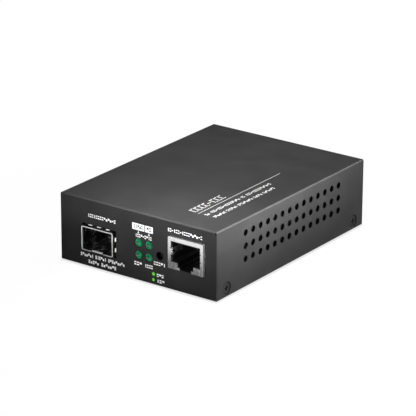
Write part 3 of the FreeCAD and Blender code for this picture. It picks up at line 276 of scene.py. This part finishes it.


# Tin plate of the pressed cage: dull and darkened by painted shade, with a painted highlight at
# its mouth and on the latch's lip, and fine painted glints further in. The shares say how far
# each of these turns from metal to a plain bright surface.
def tinPlate():
    tin = {
        # the plain tone, darkened by painted shade
        "dark": (0.10, 0.10, 0.10),
        "light": (0.17, 0.17, 0.17),
        "rimHighlight": (0.90, 0.90, 0.90),
        "paintedGlint": (0.8, 0.8, 0.8),
        "spread": (0.33, 0.67),
        "roughness": (0.30, 0.46),
        "rimHighlightDepth": (0.12, 0.3),
        "rimHighlightShare": 0.4,
        "lipHalfWidth": 2.35,
        "lipHeight": 0.00125,
        "lipDepth": 0.65,
        "lipShare": 0.6,
        "glintWidth": 0.02,
        "glintStart": 1.5,
        "glintZone": 0.52,
        "glintShare": 0.9,
        "glintLines": (2.2, 1.0),
        "drawn": (0.4, 3.0, 0.6, (1.0, 0.07, 1.0)),
        "stain": (3.2, 4.0, 0.6),
        "relief": (0.1, 0.00003),
    }
    f = Finish("tinPlate")
    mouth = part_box("sfp_cage")[0].y / mm
    middle = (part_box("sfp_cage")[0].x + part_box("sfp_cage")[1].x) / 2 / mm
    floor = (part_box("sfp_spring_fingers")[0].z + tin["lipHeight"]) / mm
    x, y, z = f.parts()
    # painted highlight at the mouth and on the latch's lip
    lip = (abs(x - middle) < tin["lipHalfWidth"]) * (z < floor)
    start, end = (mouth + depth for depth in tin["rimHighlightDepth"])
    rimHighlight = 1 - f.between(y - lip * tin["lipDepth"], start, end)
    drawn = f.noise(*tin["drawn"])
    stain = f.noise(*tin["stain"])
    # painted glints: fine bright lines further in
    line = abs(f.noise(*tin["glintLines"]) - 0.5) < tin["glintWidth"]
    paintedGlint = line * (stain > tin["glintZone"]) * (y > mouth + tin["glintStart"])
    plain = f.blotch(stain * 0.6 + drawn * 0.4, tin)
    bright = rimHighlight * (lip * tin["lipShare"] + tin["rimHighlightShare"])
    return f.done(
        Base_Color=f.mix(rimHighlight, f.mix(paintedGlint, plain, tin["paintedGlint"]), tin["rimHighlight"]),
        Metallic=1 - bright.larger(paintedGlint * tin["glintShare"]),
        Roughness=f.gloss(stain, tin),
        Normal=f.relief(drawn, tin),
    )


dress(tinPlate(), "sfp_cage")


# Hard rolled spring strip of the collar, with a painted highlight on the crowns of its fingers
def springStrip():
    strip = {
        "dark": (0.02, 0.02, 0.02),
        "light": (0.05, 0.05, 0.05),
        "crown": (0.96, 0.96, 0.96),
        "roughness": (0.25, 0.39),
        "crownDepth": (-0.2, -0.1),
        "crownShare": 0.85,
        "rolled": (0.3, 2.0, 0.5, (1.0, 0.06, 1.0)),
        "worn": (1.4, 3.0, 0.6),
        "relief": (0.07, 0.00002),
    }
    f = Finish("springStrip")
    low, high = (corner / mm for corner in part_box("sfp_spring_fingers"))
    middle, half = (low + high) / 2, (high - low) / 2
    x, _, z = f.parts()
    proud = (abs(x - middle.x) - half.x).larger(abs(z - middle.z) - half.z)
    # painted highlight on the crowns of the fingers
    crown = f.between(proud, *strip["crownDepth"])
    rolled = f.noise(*strip["rolled"])
    worn = f.noise(*strip["worn"])
    return f.done(
        Base_Color=f.mix(crown, f.blotch(worn, strip), strip["crown"]),
        Metallic=1 - crown * strip["crownShare"],
        Roughness=f.gloss(rolled, strip),
        Normal=f.relief(rolled, strip),
    )


dress(springStrip(), "sfp_spring_fingers")


# Moulded black plastic, spark-eroded texture
def mouldedBlack(name, level, roughness, grainSize):
    plastic = {
        "dark": (level, level, level * 1.02),
        "light": (level * 1.6, level * 1.6, level * 1.62),
        "roughness": (roughness - 0.06, roughness + 0.08),
        "shine": 0.15,
        "grain": (grainSize, 2.0, 0.6),
        "flow": (4.0, 2.0, 0.5),
        "relief": (0.14, 0.00004),
    }
    f = Finish(name)
    grain = f.noise(*plastic["grain"])
    flow = f.noise(*plastic["flow"])
    return f.done(
        Base_Color=f.blotch(flow * 0.5 + grain * 0.5, plastic),
        Roughness=f.gloss(grain, plastic),
        Specular_IOR_Level=plastic["shine"],
        Normal=f.relief(grain, plastic),
    )


dress(mouldedBlack("jackPlastic", 0.010, 0.38, 0.25), "rj45_housing")
dress(mouldedBlack("edgeConnectorPlastic", 0.009, 0.45, 0.2), "sfp_host_connector")
dress(mouldedBlack("holderPlastic", 0.012, 0.5, 0.3), "lamp_holder")
dress(mouldedBlack("buttonPlastic", 0.006, 0.42, 0.2), "reset_switch_body", "reset_plunger")
dress(mouldedBlack("inletPlastic", 0.011, 0.4, 0.3), "power_inlet_housing")


# Green tinted lens of each lamp: a darker middle, with the greyish bar of the die's cup behind
# it, a brighter side at the lower right that is painted light, and a pale rim at the upper left
# that is a painted highlight. Places are shares of the lens's radius.
def lampLens(name):
    lens = {
        "rim": (0.075, 0.34, 0.20),
        "body": (0.003, 0.20, 0.075),
        "middle": (0.004, 0.075, 0.036),
        "bar": (0.13, 0.17, 0.135),
        "glow": (0.003, 0.31, 0.105),
        "rings": {0.0: "middle", 0.42: "middle", 0.7: "body", 1.0: "body"},
        "glowZone": (0.1, 0.9),
        "glowShare": 0.8,
        "rimZone": (0.75, 1.15),
        "rimShare": 0.7,
        "barDrop": 0.05,
        "barHalfHeight": 0.17,
        "barHalfWidth": 0.62,
        "barShare": 0.75,
        "roughness": (0.44, 0.54),
        "shine": 0.12,
        "cloud": (0.5, 2.0, 0.5),
        "relief": (0.05, 0.00003),
    }
    low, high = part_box(name)
    middle = (low + high) / 2 / mm
    radius = (high.x - low.x) / 2 / mm
    f = Finish("lens_" + name)
    x, _, z = f.parts()
    across = (x - middle.x) / radius
    up = (z - middle.z) / radius
    out = (across * across + up * up).power(0.5)
    shade = f.ramp(out, [(place, lens[tone]) for place, tone in lens["rings"].items()])
    # painted light on the lower right side
    lowerRightPaintedLight = f.between(across * 0.7 - up * 0.7, *lens["glowZone"])
    shade = f.mix(lowerRightPaintedLight * lens["glowShare"], shade, lens["glow"])
    # painted highlight on the upper left rim
    upperLeftPaintedHighlight = f.between(up * 0.55 - across * 0.75 + out * 0.3, *lens["rimZone"])
    shade = f.mix(upperLeftPaintedHighlight * lens["rimShare"], shade, lens["rim"])
    level = abs(up + lens["barDrop"]) < lens["barHalfHeight"]
    bar = level * (abs(across) < lens["barHalfWidth"])
    cloud = f.noise(*lens["cloud"])
    return f.done(
        Base_Color=f.mix(bar * lens["barShare"], shade, lens["bar"]),
        Roughness=f.gloss(cloud, lens),
        Specular_IOR_Level=lens["shine"],
        Normal=f.relief(cloud, lens),
    )


lampNames = [f"lamp_{up}_{side}" for up in ("upper", "lower") for side in ("left", "right")]
for lampName in lampNames:
    dress(lampLens(lampName), lampName)


# Black oxide on the flat head screws, with painted shade at the rim and in the recess, so that
# their faces stand greyer
def blackOxide():
    oxide = {
        "dark": (0.004, 0.004, 0.004),
        "light": (0.008, 0.008, 0.008),
        "face": (0.022, 0.022, 0.022),
        "spread": (0.4, 0.7),
        "roughness": (0.34, 0.5),
        "metallic": 0.3,
        "faceLoss": 0.2,
        "rim": 0.35,
        "faceDepth": 0.1,
        "worn": (0.8, 3.0, 0.6),
        "fine": (0.15, 2.0, 0.5),
        "relief": (0.12, 0.00003),
    }
    f = Finish("blackOxide")
    low, high = (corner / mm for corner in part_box("cover_screws"))
    middle, half = (low + high) / 2, (high - low) / 2
    head = half.z
    x, y, z = f.parts()
    along = abs(y - middle.y) - half.y + head
    up = z - middle.z
    # painted shade: darker at the rim and in the recess than on the face
    inside = (along * along + up * up).power(0.5) < head - oxide["rim"]
    face = inside * (abs(x) > high.x - oxide["faceDepth"])
    worn = f.noise(*oxide["worn"])
    fine = f.noise(*oxide["fine"])
    return f.done(
        Base_Color=f.mix(face, f.blotch(worn, oxide), oxide["face"]),
        Metallic=oxide["metallic"] - face * oxide["faceLoss"],
        Roughness=f.gloss(worn * 0.5 + fine * 0.5, oxide),
        Normal=f.relief(fine, oxide),
    )


dress(blackOxide(), "cover_screws")


# Zinc on the fasteners inside, and tin on the other small metal pieces
def zincPlate(name, dark, light, roughness):
    plate = {
        "dark": dark,
        "light": light,
        "roughness": (roughness - 0.07, roughness + 0.1),
        "cloud": (1.1, 3.0, 0.6),
        "fine": (0.2, 2.0, 0.5),
        "relief": (0.08, 0.00003),
    }
    f = Finish(name)
    cloud = f.noise(*plate["cloud"])
    fine = f.noise(*plate["fine"])
    return f.done(
        Base_Color=f.blotch(cloud, plate),
        Metallic=1.0,
        Roughness=f.gloss(cloud * 0.5 + fine * 0.5, plate),
        Normal=f.relief(fine, plate),
    )


brightZinc = zincPlate("brightZinc", (0.50, 0.51, 0.53), (0.68, 0.69, 0.71), 0.33)
switchStrap = zincPlate("switchStrap", (0.55, 0.55, 0.54), (0.72, 0.72, 0.70), 0.3)
inletMetal = zincPlate("inletMetal", (0.62, 0.61, 0.58), (0.78, 0.77, 0.74), 0.24)
leadWire = zincPlate("leadWire", (0.58, 0.58, 0.57), (0.74, 0.74, 0.73), 0.3)
crystalCan = zincPlate("crystalCan", (0.60, 0.60, 0.58), (0.76, 0.76, 0.74), 0.28)
dress(brightZinc, "board_standoffs", "board_screws")
dress(switchStrap, "reset_switch_bracket")
dress(inletMetal, "power_inlet_pin", "power_inlet_spring")
dress(leadWire, "lamp_leads")
dress(crystalCan, "clock_crystal")


# Gold flash on the contacts, thinner over the nickel at places
def goldFlash():
    gold = {
        "dark": (0.62, 0.40, 0.13),
        "light": (0.66, 0.56, 0.36),
        "spread": (0.5, 0.75),
        "roughness": (0.2, 0.34),
        "worn": (0.7, 3.0, 0.6),
        "relief": (0.05, 0.00002),
    }
    f = Finish("goldFlash")
    worn = f.noise(*gold["worn"])
    return f.done(
        Base_Color=f.blotch(worn, gold),
        Metallic=1.0,
        Roughness=f.gloss(worn, gold),
        Normal=f.relief(worn, gold),
    )


dress(goldFlash(), "sfp_contacts", "rj45_contacts")


# Solder mask over the board's traces, and bare laminate at the board's edges
def solderMask():
    board = {
        "mask": (0.004, 0.024, 0.010),
        "trace": (0.007, 0.042, 0.018),
        "edge": (0.16, 0.14, 0.07),
        "roughness": (0.3, 0.42),
        "lanePitch": 1.6,
        "laneWidth": 0.55,
        "laneField": (6.0, 0.0),
        "laneStart": 0.48,
        "crossPitch": 2.1,
        "crossWidth": 0.6,
        "crossField": (7.5, 0.0),
        "crossStart": 0.54,
        "skin": 0.05,
        "weave": (0.3, 2.0, 0.5),
        "relief": (0.3, 0.00003),
    }
    f = Finish("solderMask")
    x, y, z = f.parts()
    lanes = abs((x * 0.9 + y * 0.15) % board["lanePitch"]) < board["laneWidth"]
    lanes = lanes * (f.noise(*board["laneField"]) > board["laneStart"])
    cross = abs((y * 0.8 - x * 0.1) % board["crossPitch"]) < board["crossWidth"]
    cross = cross * (f.noise(*board["crossField"]) > board["crossStart"])
    traces = lanes.larger(cross)
    low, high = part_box("circuit_board")
    face = abs(z - (low.z + high.z) / 2 / mm) > (high.z - low.z) / 2 / mm - board["skin"]
    weave = f.noise(*board["weave"])
    return f.done(
        Base_Color=f.mix(face, board["edge"], f.mix(traces, board["mask"], board["trace"])),
        Roughness=f.gloss(weave, board),
        Normal=f.relief(traces * 0.8 + weave * 0.2, board),
    )


dress(solderMask(), "circuit_board")


# Moulded chip: matt epoxy body with its first-pin dimple, and tinned leads outside the body
def chipEpoxy(name):
    epoxy = {
        "dark": (0.016, 0.016, 0.017),
        "light": (0.027, 0.027, 0.028),
        "dimple": (0.006, 0.006, 0.006),
        "lead": (0.62, 0.62, 0.61),
        "roughness": (0.46, 0.6),
        "leadLength": 1.0,
        "leadStart": 0.02,
        "leadGloss": 0.22,
        "dimpleInset": 1.1,
        "dimpleRadius": 0.45,
        "grain": (0.12, 2.0, 0.6),
        "relief": (0.3, 0.00005),
    }
    low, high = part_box(name)
    middle = (low + high) / 2 / mm
    wide = (high.x - low.x) / 2 / mm - epoxy["leadLength"]
    long = (high.y - low.y) / 2 / mm
    f = Finish("epoxy_" + name)
    x, y, _ = f.parts()
    metal = abs(x - middle.x) > wide + epoxy["leadStart"]
    fromX = x - (middle.x - wide + epoxy["dimpleInset"])
    fromY = y - (middle.y + long - epoxy["dimpleInset"])
    dimple = (fromX * fromX + fromY * fromY).power(0.5) < epoxy["dimpleRadius"]
    grain = f.noise(*epoxy["grain"])
    body = f.mix(dimple, f.blotch(grain, epoxy), epoxy["dimple"])
    return f.done(
        Base_Color=f.mix(metal, body, epoxy["lead"]),
        Metallic=metal,
        Roughness=f.gloss(grain, epoxy) - metal * epoxy["leadGloss"],
        Normal=f.relief(grain * 0.3 - dimple * 0.7, epoxy),
    )


for chipName in ("lan_transformer", "phy_chip", "switch_chip", "flash_chip", "voltage_regulator"):
    dress(chipEpoxy(chipName), chipName)


# Can capacitor: bright can with a dark half-moon on its crown, over a black base
def canMetal(name, boardTop):
    can = {
        "dark": (0.55, 0.55, 0.56),
        "light": (0.72, 0.72, 0.73),
        "mark": (0.015, 0.015, 0.02),
        "foot": (0.014, 0.014, 0.015),
        "roughness": (0.28, 0.4),
        "crownDepth": 0.02,
        "markStart": 1.2,
        "footHeight": 1.2,
        "turned": (0.25, 2.0, 0.5),
        "relief": (0.1, 0.00003),
    }
    low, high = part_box(name)
    middle = (low + high) / 2 / mm
    f = Finish("can_" + name)
    x, _, z = f.parts()
    crown = z > high.z / mm - can["crownDepth"]
    mark = crown * (x < middle.x - can["markStart"])
    foot = z < boardTop + can["footHeight"]
    turned = f.noise(*can["turned"])
    colour = f.mix(mark, f.mix(turned, can["dark"], can["light"]), can["mark"])
    return f.done(
        Base_Color=f.mix(foot, colour, can["foot"]),
        Metallic=1 - mark.larger(foot),
        Roughness=f.gloss(turned, can),
        Normal=f.relief(turned, can),
    )


for canName in ("input_capacitor", "output_capacitor"):
    dress(canMetal(canName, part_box("circuit_board")[1].z / mm), canName)


# Pressed ferrite of the power coil
def ferrite():
    core = {
        "dark": (0.045, 0.044, 0.042),
        "light": (0.085, 0.083, 0.08),
        "roughness": (0.55, 0.75),
        "grain": (0.25, 4.0, 0.7),
        "relief": (0.35, 0.00006),
    }
    f = Finish("ferrite")
    grain = f.noise(*core["grain"])
    return f.done(
        Base_Color=f.mix(grain, core["dark"], core["light"]),
        Roughness=f.gloss(grain, core),
        Normal=f.relief(grain, core),
    )


dress(ferrite(), "power_inductor")


# The resistors' ceramic with tinned ends
def chipCeramic():
    ceramic = {
        "dark": (0.02, 0.02, 0.022),
        "light": (0.04, 0.04, 0.042),
        "end": (0.66, 0.66, 0.65),
        "roughness": (0.3, 0.42),
        "endLength": 0.3,
        "grain": (0.15, 2.0, 0.5),
        "relief": (0.1, 0.00003),
    }
    low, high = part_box("chip_resistors")
    middle = (low + high) / 2 / mm
    long = (high.y - low.y) / 2 / mm
    f = Finish("chipCeramic")
    _, y, _ = f.parts()
    ends = abs(y - middle.y) > long - ceramic["endLength"]
    grain = f.noise(*ceramic["grain"])
    body = f.mix(grain, ceramic["dark"], ceramic["light"])
    return f.done(
        Base_Color=f.mix(ends, body, ceramic["end"]),
        Metallic=ends,
        Roughness=f.gloss(grain, ceramic),
        Normal=f.relief(grain, ceramic),
    )


dress(chipCeramic(), "chip_resistors")
print("finishes on all carried-over pieces")


# Printed inks: thin films on the case; the white and green ones glow a little, as painted light
def ink(name, dark, light, roughness=0.5, glow=0.0):
    film = {
        "dark": dark,
        "light": light,
        "roughness": (roughness - 0.06, roughness + 0.08),
        "spread": (0.3, 0.7),
        "shine": 0.1,
        "worn": (0.35, 3.0, 0.6),
        "fine": (0.12, 2.0, 0.5),
        "relief": (0.08, 0.00002),
    }
    f = Finish(name)
    worn = f.noise(*film["worn"])
    fine = f.noise(*film["fine"])
    return f.done(
        Base_Color=f.blotch(worn, film),
        Emission_Color=light,
        Emission_Strength=glow,
        Specular_IOR_Level=film["shine"],
        Roughness=f.gloss(fine, film),
        Normal=f.relief(fine, film),
    )


# its glow is painted light
whiteInk = ink("whiteInk", (0.80, 0.80, 0.80), (0.93, 0.93, 0.93), glow=0.08)
dullInk = ink("dullInk", (0.40, 0.40, 0.40), (0.56, 0.56, 0.56))
greyInk = ink("greyInk", (0.05, 0.05, 0.05), (0.09, 0.09, 0.09))
# its glow is painted light
greenInk = ink("greenInk", (0.11, 0.58, 0.04), (0.17, 0.74, 0.07), glow=0.12)
# painted shade round the reset button's hole
paintedHoleShade = ink("paintedHoleShade", (0.001, 0.001, 0.001), (0.002, 0.002, 0.002), 0.8)


# A mesh with one finish, from what builds its form
def meshed(name, finish, build):
    mesh = bpy.data.meshes.new(name)
    form = bmesh.new()
    build(form)
    form.to_mesh(mesh)
    form.free()
    mesh.materials.append(finish)
    return mesh


# A print of flat shapes: each shape is a list of points (u, v) in millimetres, put in place
# by a matrix
def printed(name, shapes, matrix, finish):
    def laid(form):
        for shape in shapes:
            points = [form.verts.new(matrix @ Vector((u * mm, v * mm, 0))) for u, v in shape]
            form.faces.new(points)
        form.normal_update()

    piece = bpy.data.objects.new(name, meshed(name, finish, laid))
    bpy.context.scene.collection.objects.link(piece)
    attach(piece, "case")


def block(left, right, low, high):
    return [(left, low), (right, low), (right, high), (left, high)]


# A row of plain marks from one place to another, in the rhythm of a printed line.
# In the rhythm, = is a pair of dashes, - one dash, i a thin bar, ' a raised block, . a low
# block, and a space a gap. The stroke is a dash's height as a share of the row's.
def markRow(start, end, low, high, rhythm, stroke=0.34):
    share = {"mark": 0.78, "barStart": 0.3, "bar": 0.36, "raisedFrom": 0.42, "lowUpTo": 0.66}
    pitch = (end - start) / len(rhythm)
    tall = high - low
    dash = tall * stroke
    shapes = []
    for n, mark in enumerate(rhythm):
        left = start + n * pitch
        right = left + pitch * share["mark"]
        bar = left + pitch * share["barStart"]
        if mark == "=":
            shapes.append(block(left, right, low, low + dash))
            shapes.append(block(left, right, high - dash, high))
        elif mark == "-":
            shapes.append(block(left, right, low + (tall - dash) / 2, low + (tall + dash) / 2))
        elif mark == "i":
            shapes.append(block(bar, bar + pitch * share["bar"], low, high))
        elif mark == "'":
            shapes.append(block(left, right, low + tall * share["raisedFrom"], high))
        elif mark == ".":
            shapes.append(block(left, right, low, low + tall * share["lowUpTo"]))
    return shapes


# A downward arrow with its tip at the low end
def arrow(u, low, high):
    head = {"halfWidth": 0.42, "height": 0.55, "shaft": 0.12, "overlap": 0.4}
    shaft = block(u - head["shaft"], u + head["shaft"], low + head["overlap"], high)
    base = low + head["height"]
    return [shaft, [(u, low), (u + head["halfWidth"], base), (u - head["halfWidth"], base)]]


def burst(u, v, reach, rays):
    notch = 0.55
    points = []
    for n in range(2 * rays):
        angle = math.pi * n / rays
        out = reach if n % 2 == 0 else reach * notch
        points.append((u + out * math.sin(angle), v + out * math.cos(angle)))
    return points


def disc(u, v, radius, sides=20):
    turns = [2 * math.pi * n / sides for n in range(sides)]
    return [(u + radius * math.cos(turn), v + radius * math.sin(turn)) for turn in turns]


# How far each print lies off its face, in metres
lift = {"front": 0.00001, "tagMarks": 0.00001, "top": 0.000004}

# The front panel's prints lie in a plane whose u runs along +X and v along +Z.
# Each row has its start and end, its low and high edge, its rhythm, and a stroke of its own
# where it needs one.
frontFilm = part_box("cover")[0].y - lift["front"]
frontPlane = Matrix.Translation((0, frontFilm, 0)) @ Matrix.Rotation(math.radians(90), 4, "X")
frontMarks = {
    "opticsLine": (-22.2, -9.5, 19.45, 20.7, "i==i===='.'.-="),
    "networkLine": (13.35, 28.5, 22.1, 23.35, "i=-i==-i==='.'.-=", 0.28),
    "lampLine": (-0.85, 6.5, 16.75, 18.0, "i=='-='i="),
    "lampLeftLine": (-1.35, 2.2, 6.05, 7.35, "=='"),
    "lampRightLine": (3.3, 7.0, 6.0, 7.25, "i==="),
    "buttonLine": (7.3, 12.5, 8.0, 9.3, "==='i"),
    "keyUpperLine": (8.6, 11.8, 3.65, 4.8, "='="),
    "keyLowerLine": (8.6, 12.2, 1.45, 2.65, "i='"),
    "captionUpper": (-25.6, -5.6, 3.85, 5.2, "='..'.i =i='.i ='=.'..'.", 0.46),
    "captionLower": (-22.1, -9.4, 1.6, 2.95, "=.='. =.'..'=", 0.46),
}
frontArrows = {"left": (0.5, 18.1, 19.3), "right": (5.2, 18.1, 19.3)}
frontShapes = []
for place in frontMarks.values():
    frontShapes += markRow(*place)
for place in frontArrows.values():
    frontShapes += arrow(*place)
printed("frontPrint", frontShapes, frontPlane, whiteInk)

# Two white tags over the lamps, with their marks laid on them
tags = {"left": (-2.2, 3.2, 19.4, 21.85), "right": (3.55, 6.95, 19.4, 21.85)}
tagRows = {"left": (-1.4, 2.6, 20.0, 21.3, "=i'.="), "right": (4.2, 6.4, 20.0, 21.3, "'=")}
tagPlane = Matrix.Translation((0, -lift["tagMarks"], 0)) @ frontPlane
printed("tagPrint", [block(*place) for place in tags.values()], frontPlane, whiteInk)
tagShapes = [shape for place in tagRows.values() for shape in markRow(*place)]
printed("tagMarks", tagShapes, tagPlane, greyInk)

# Key to the lamps: a small burst and a dot
key = {"burst": (7.12, 4.31, 0.85, 8), "dot": (7.11, 2.19, 0.58)}
printed("keyPrint", [burst(*key["burst"]), disc(*key["dot"])], frontPlane, greenInk)

# Painted shade: a dark ring round the reset button's hole, widening the hole's dark
ring = {"radii": (1.36, 1.6), "sides": 32}
buttonMiddle = (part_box("reset_plunger")[0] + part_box("reset_plunger")[1]) / 2 / mm
inner, outer = (
    disc(buttonMiddle.x, buttonMiddle.z, radius, ring["sides"]) for radius in ring["radii"]
)
ringShapes = [[inner[n - 1], outer[n - 1], outer[n], inner[n]] for n in range(ring["sides"])]
printed("buttonHoleShade", ringShapes, frontPlane, paintedHoleShade)

# The top's prints read along +Y: u runs along +Y and v along -X. A thin rule slants under
# the title.
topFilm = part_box("cover")[1].z + lift["top"]
topPlane = Matrix(((0, -1, 0, 0), (1, 0, 0, 0), (0, 0, 1, topFilm), (0, 0, 0, 1)))
topMarks = {
    "title": (-35.3, -16.0, -16.8, -13.6, "i=i=i=i=--i=i=i=", 0.13),
    "upperLine": (-35.2, 4.9, -22.0, -20.6, "=. i==-i==-i===='.'. i= i==-i===='.'.-="),
    "lowerLine": (-35.1, 2.0, -25.6, -24.2, "='..'.i =i='.i ='=.'..'. =.='. =.'..'="),
}
topRule = [(-35.5, -18.5), (15.82, -18.19), (15.82, -17.97), (-35.5, -18.28)]
topShapes = [topRule]
for place in topMarks.values():
    topShapes += markRow(*place)
printed("topPrint", topShapes, topPlane, dullInk)
print("prints laid on the front and the top")


# Stage pieces are matt, with a glow of their own, and each is seen by some kinds of ray only
def stageMatt(f, tone, glow):
    matt = {"roughness": (0.86, 0.94), "cloud": (120.0, 2.0, 0.5)}
    cloud = f.noise(*matt["cloud"])
    return f.done(
        Base_Color=tone,
        Roughness=f.gloss(cloud, matt),
        Specular_IOR_Level=0.0,
        Emission_Color=glow,
        Emission_Strength=1.0,
    )


def staged(name, mesh, drop, rays):
    piece = bpy.data.objects.new(name, mesh)
    piece.location.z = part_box("base")[0].z - drop
    for ray in ("camera", "diffuse", "glossy", "transmission", "shadow"):
        setattr(piece, "visible_" + ray, ray in rays)
    bpy.context.scene.collection.objects.link(piece)


# A plane under the case. Its glow runs from the near to the far distance beside the case, in
# millimetres, and from the near to the far strength; the weaker glow near the case is a painted
# shadow.
def studioPlane(name, drop, rays, tone, near, far, nearGlow, farGlow):
    f = Finish(name)
    x, y, _ = f.parts()
    beside = (caseLow.x - x).larger(x - caseHigh.x).larger(0.0)
    ahead = (caseLow.y - y).larger(y - caseHigh.y).larger(0.0)
    away = (beside * beside + ahead * ahead).power(0.5)
    # painted shadow: the glow is weaker near the case
    lit = f.between(away, near, far, nearGlow, farGlow)
    finish = stageMatt(f, tone, f.mix(lit, (0.0, 0.0, 0.0), (1.0, 1.0, 1.0)))
    halfSize = 4
    grid = {"x_segments": 1, "y_segments": 1, "size": halfSize}
    mesh = meshed(name, finish, lambda form: bmesh.ops.create_grid(form, **grid))
    staged(name, mesh, drop, rays)


# Pale backlit floor for the camera, with a painted contact shadow at the case; a glowing one for
# what shines, with a wide painted shadow round the case; and a dull table for what is matt, with
# painted shade near the case. Each has its drop in metres, the rays that see it, its tone and its
# glow.
paleTone, tableTone = (0.04, 0.04, 0.04), (0.20, 0.20, 0.20)
planes = {
    "studioFloor": (0.00002, ("camera",), paleTone, 0.1, 1.0, 0.75, 0.96),
    "studioSheen": (0.00003, ("glossy",), paleTone, 24.0, 48.0, 0.0, 1.4),
    "studioTable": (0.00004, ("diffuse", "shadow"), tableTone, 0.0, 40.0, 0.0, 0.02),
}
for planeName, values in planes.items():
    studioPlane(planeName, *values)


# Pale backdrop all round, for views from low down
def studioBackdrop(radius):
    finish = stageMatt(Finish("studioBackdrop"), paleTone, (1.0, 1.0, 1.0))
    ball = {"u_segments": 32, "v_segments": 16, "radius": radius}
    mesh = meshed("studioBackdrop", finish, lambda form: bmesh.ops.create_uvsphere(form, **ball))
    staged("studioBackdrop", mesh, 0.0, ("camera",))


studioBackdrop(3.9)


# Puts a lamp at a place and turns it to a target
def aimed(name, lamp, place, target):
    holder = bpy.data.objects.new(name, lamp)
    holder.location = place
    towards = Vector(target) - Vector(place)
    holder.rotation_euler = towards.to_track_quat("-Z", "Y").to_euler()
    bpy.context.scene.collection.objects.link(holder)
    return holder


# A softbox has a place, a target, a width, a height and a power
def softbox(name, place, target, wide, tall, power):
    lamp = bpy.data.lights.new(name, "AREA")
    lamp.shape = "RECTANGLE"
    lamp.size, lamp.size_y = wide, tall
    lamp.energy = power
    aimed(name, lamp, place, target)


# A soft beam has a place, a target, the radius that it covers there, its stretch sideways and
# a power
def softBeam(name, place, target, radius, stretch, power):
    lamp = bpy.data.lights.new(name, "SPOT")
    lamp.spot_size = 2 * math.atan(radius / (Vector(target) - Vector(place)).length)
    lamp.spot_blend = 1.0
    lamp.shadow_soft_size = 0.03
    lamp.energy = power
    aimed(name, lamp, place, target).scale = (stretch, 1, 1)


softboxes = {
    "rearBox": ((0.2, 1.2, 0.55), (0, 0, 0.01), 0.5, 0.4, 27.0),
    "leftBox": ((-1.2, 0.1, 0.3), (0, 0, 0.01), 0.6, 0.4, 10.0),
    "frontBox": ((-0.5, -1.1, 0.3), (0, 0, 0.01), 0.5, 0.4, 2.2),
    "rightBox": ((1.2, 0.3, 0.35), (0, 0, 0.01), 0.5, 0.4, 18.5),
}
rightHand, above, ahead = (0.95, -0.1, 0.14), (0.12, -0.04, 1.0), (0.10, -0.9, 0.35)
softBeams = {
    "sideFront": (rightHand, (0.0346, -0.045, 0.040), 0.024, 1.5, 98.0),
    "sideUpper": (rightHand, (0.0346, -0.012, 0.048), 0.025, 2.2, 370.0),
    "topRight": (above, (0.033, -0.066, 0.026), 0.045, 1.0, 96.0),
    "topFront": (above, (0.014, -0.056, 0.026), 0.042, 1.25, 66.0),
    "frontUpper": (ahead, (0.016, -0.047, 0.050), 0.034, 1.6, 98.0),
    "frontLower": (ahead, (-0.018, -0.048, 0.004), 0.014, 1.7, 18.0),
}
for lightName, values in softboxes.items():
    softbox(lightName, *values)
for lightName, values in softBeams.items():
    softBeam(lightName, *values)


# Faint even light from all round
def studioWorld(strength):
    world = bpy.data.worlds.new("studio")
    world.use_nodes = True
    background = world.node_tree.nodes["Background"]
    background.inputs["Color"].default_value = (1, 1, 1, 1)
    background.inputs["Strength"].default_value = strength
    bpy.context.scene.world = world


studioWorld(0.01)
bpy.context.scene.view_settings.view_transform = "Standard"


# Camera at the photograph's angle
def studioCamera():
    view = {
        "azimuth": 35.709, "elevation": 20.707, "roll": 0.249,
        "distance": 0.9482, "target": (-0.003024, 0, 0.012687),
        "lens": 222.595, "sensorWidth": 36, "clipStart": 0.05,
    }
    turn, rise, roll = (math.radians(view[name]) for name in ("azimuth", "elevation", "roll"))
    flat = math.cos(rise)
    back = Vector((math.sin(turn) * flat, -math.cos(turn) * flat, math.sin(rise)))
    right = (-back).cross(Vector((0, 0, 1))).normalized()
    up = right.cross(-back)
    rolledRight = right * math.cos(roll) + up * math.sin(roll)
    rolledUp = up * math.cos(roll) - right * math.sin(roll)
    lens = bpy.data.cameras.new("studioCamera")
    lens.lens = view["lens"]
    lens.sensor_width = view["sensorWidth"]
    lens.clip_start = view["clipStart"]
    camera = bpy.data.objects.new("studioCamera", lens)
    turned = Matrix((rolledRight, rolledUp, back)).transposed().to_4x4()
    spot = Vector(view["target"]) + back * view["distance"]
    camera.matrix_world = Matrix.Translation(spot) @ turned
    bpy.context.scene.collection.objects.link(camera)
    bpy.context.scene.camera = camera


studioCamera()
print("lights and camera set")
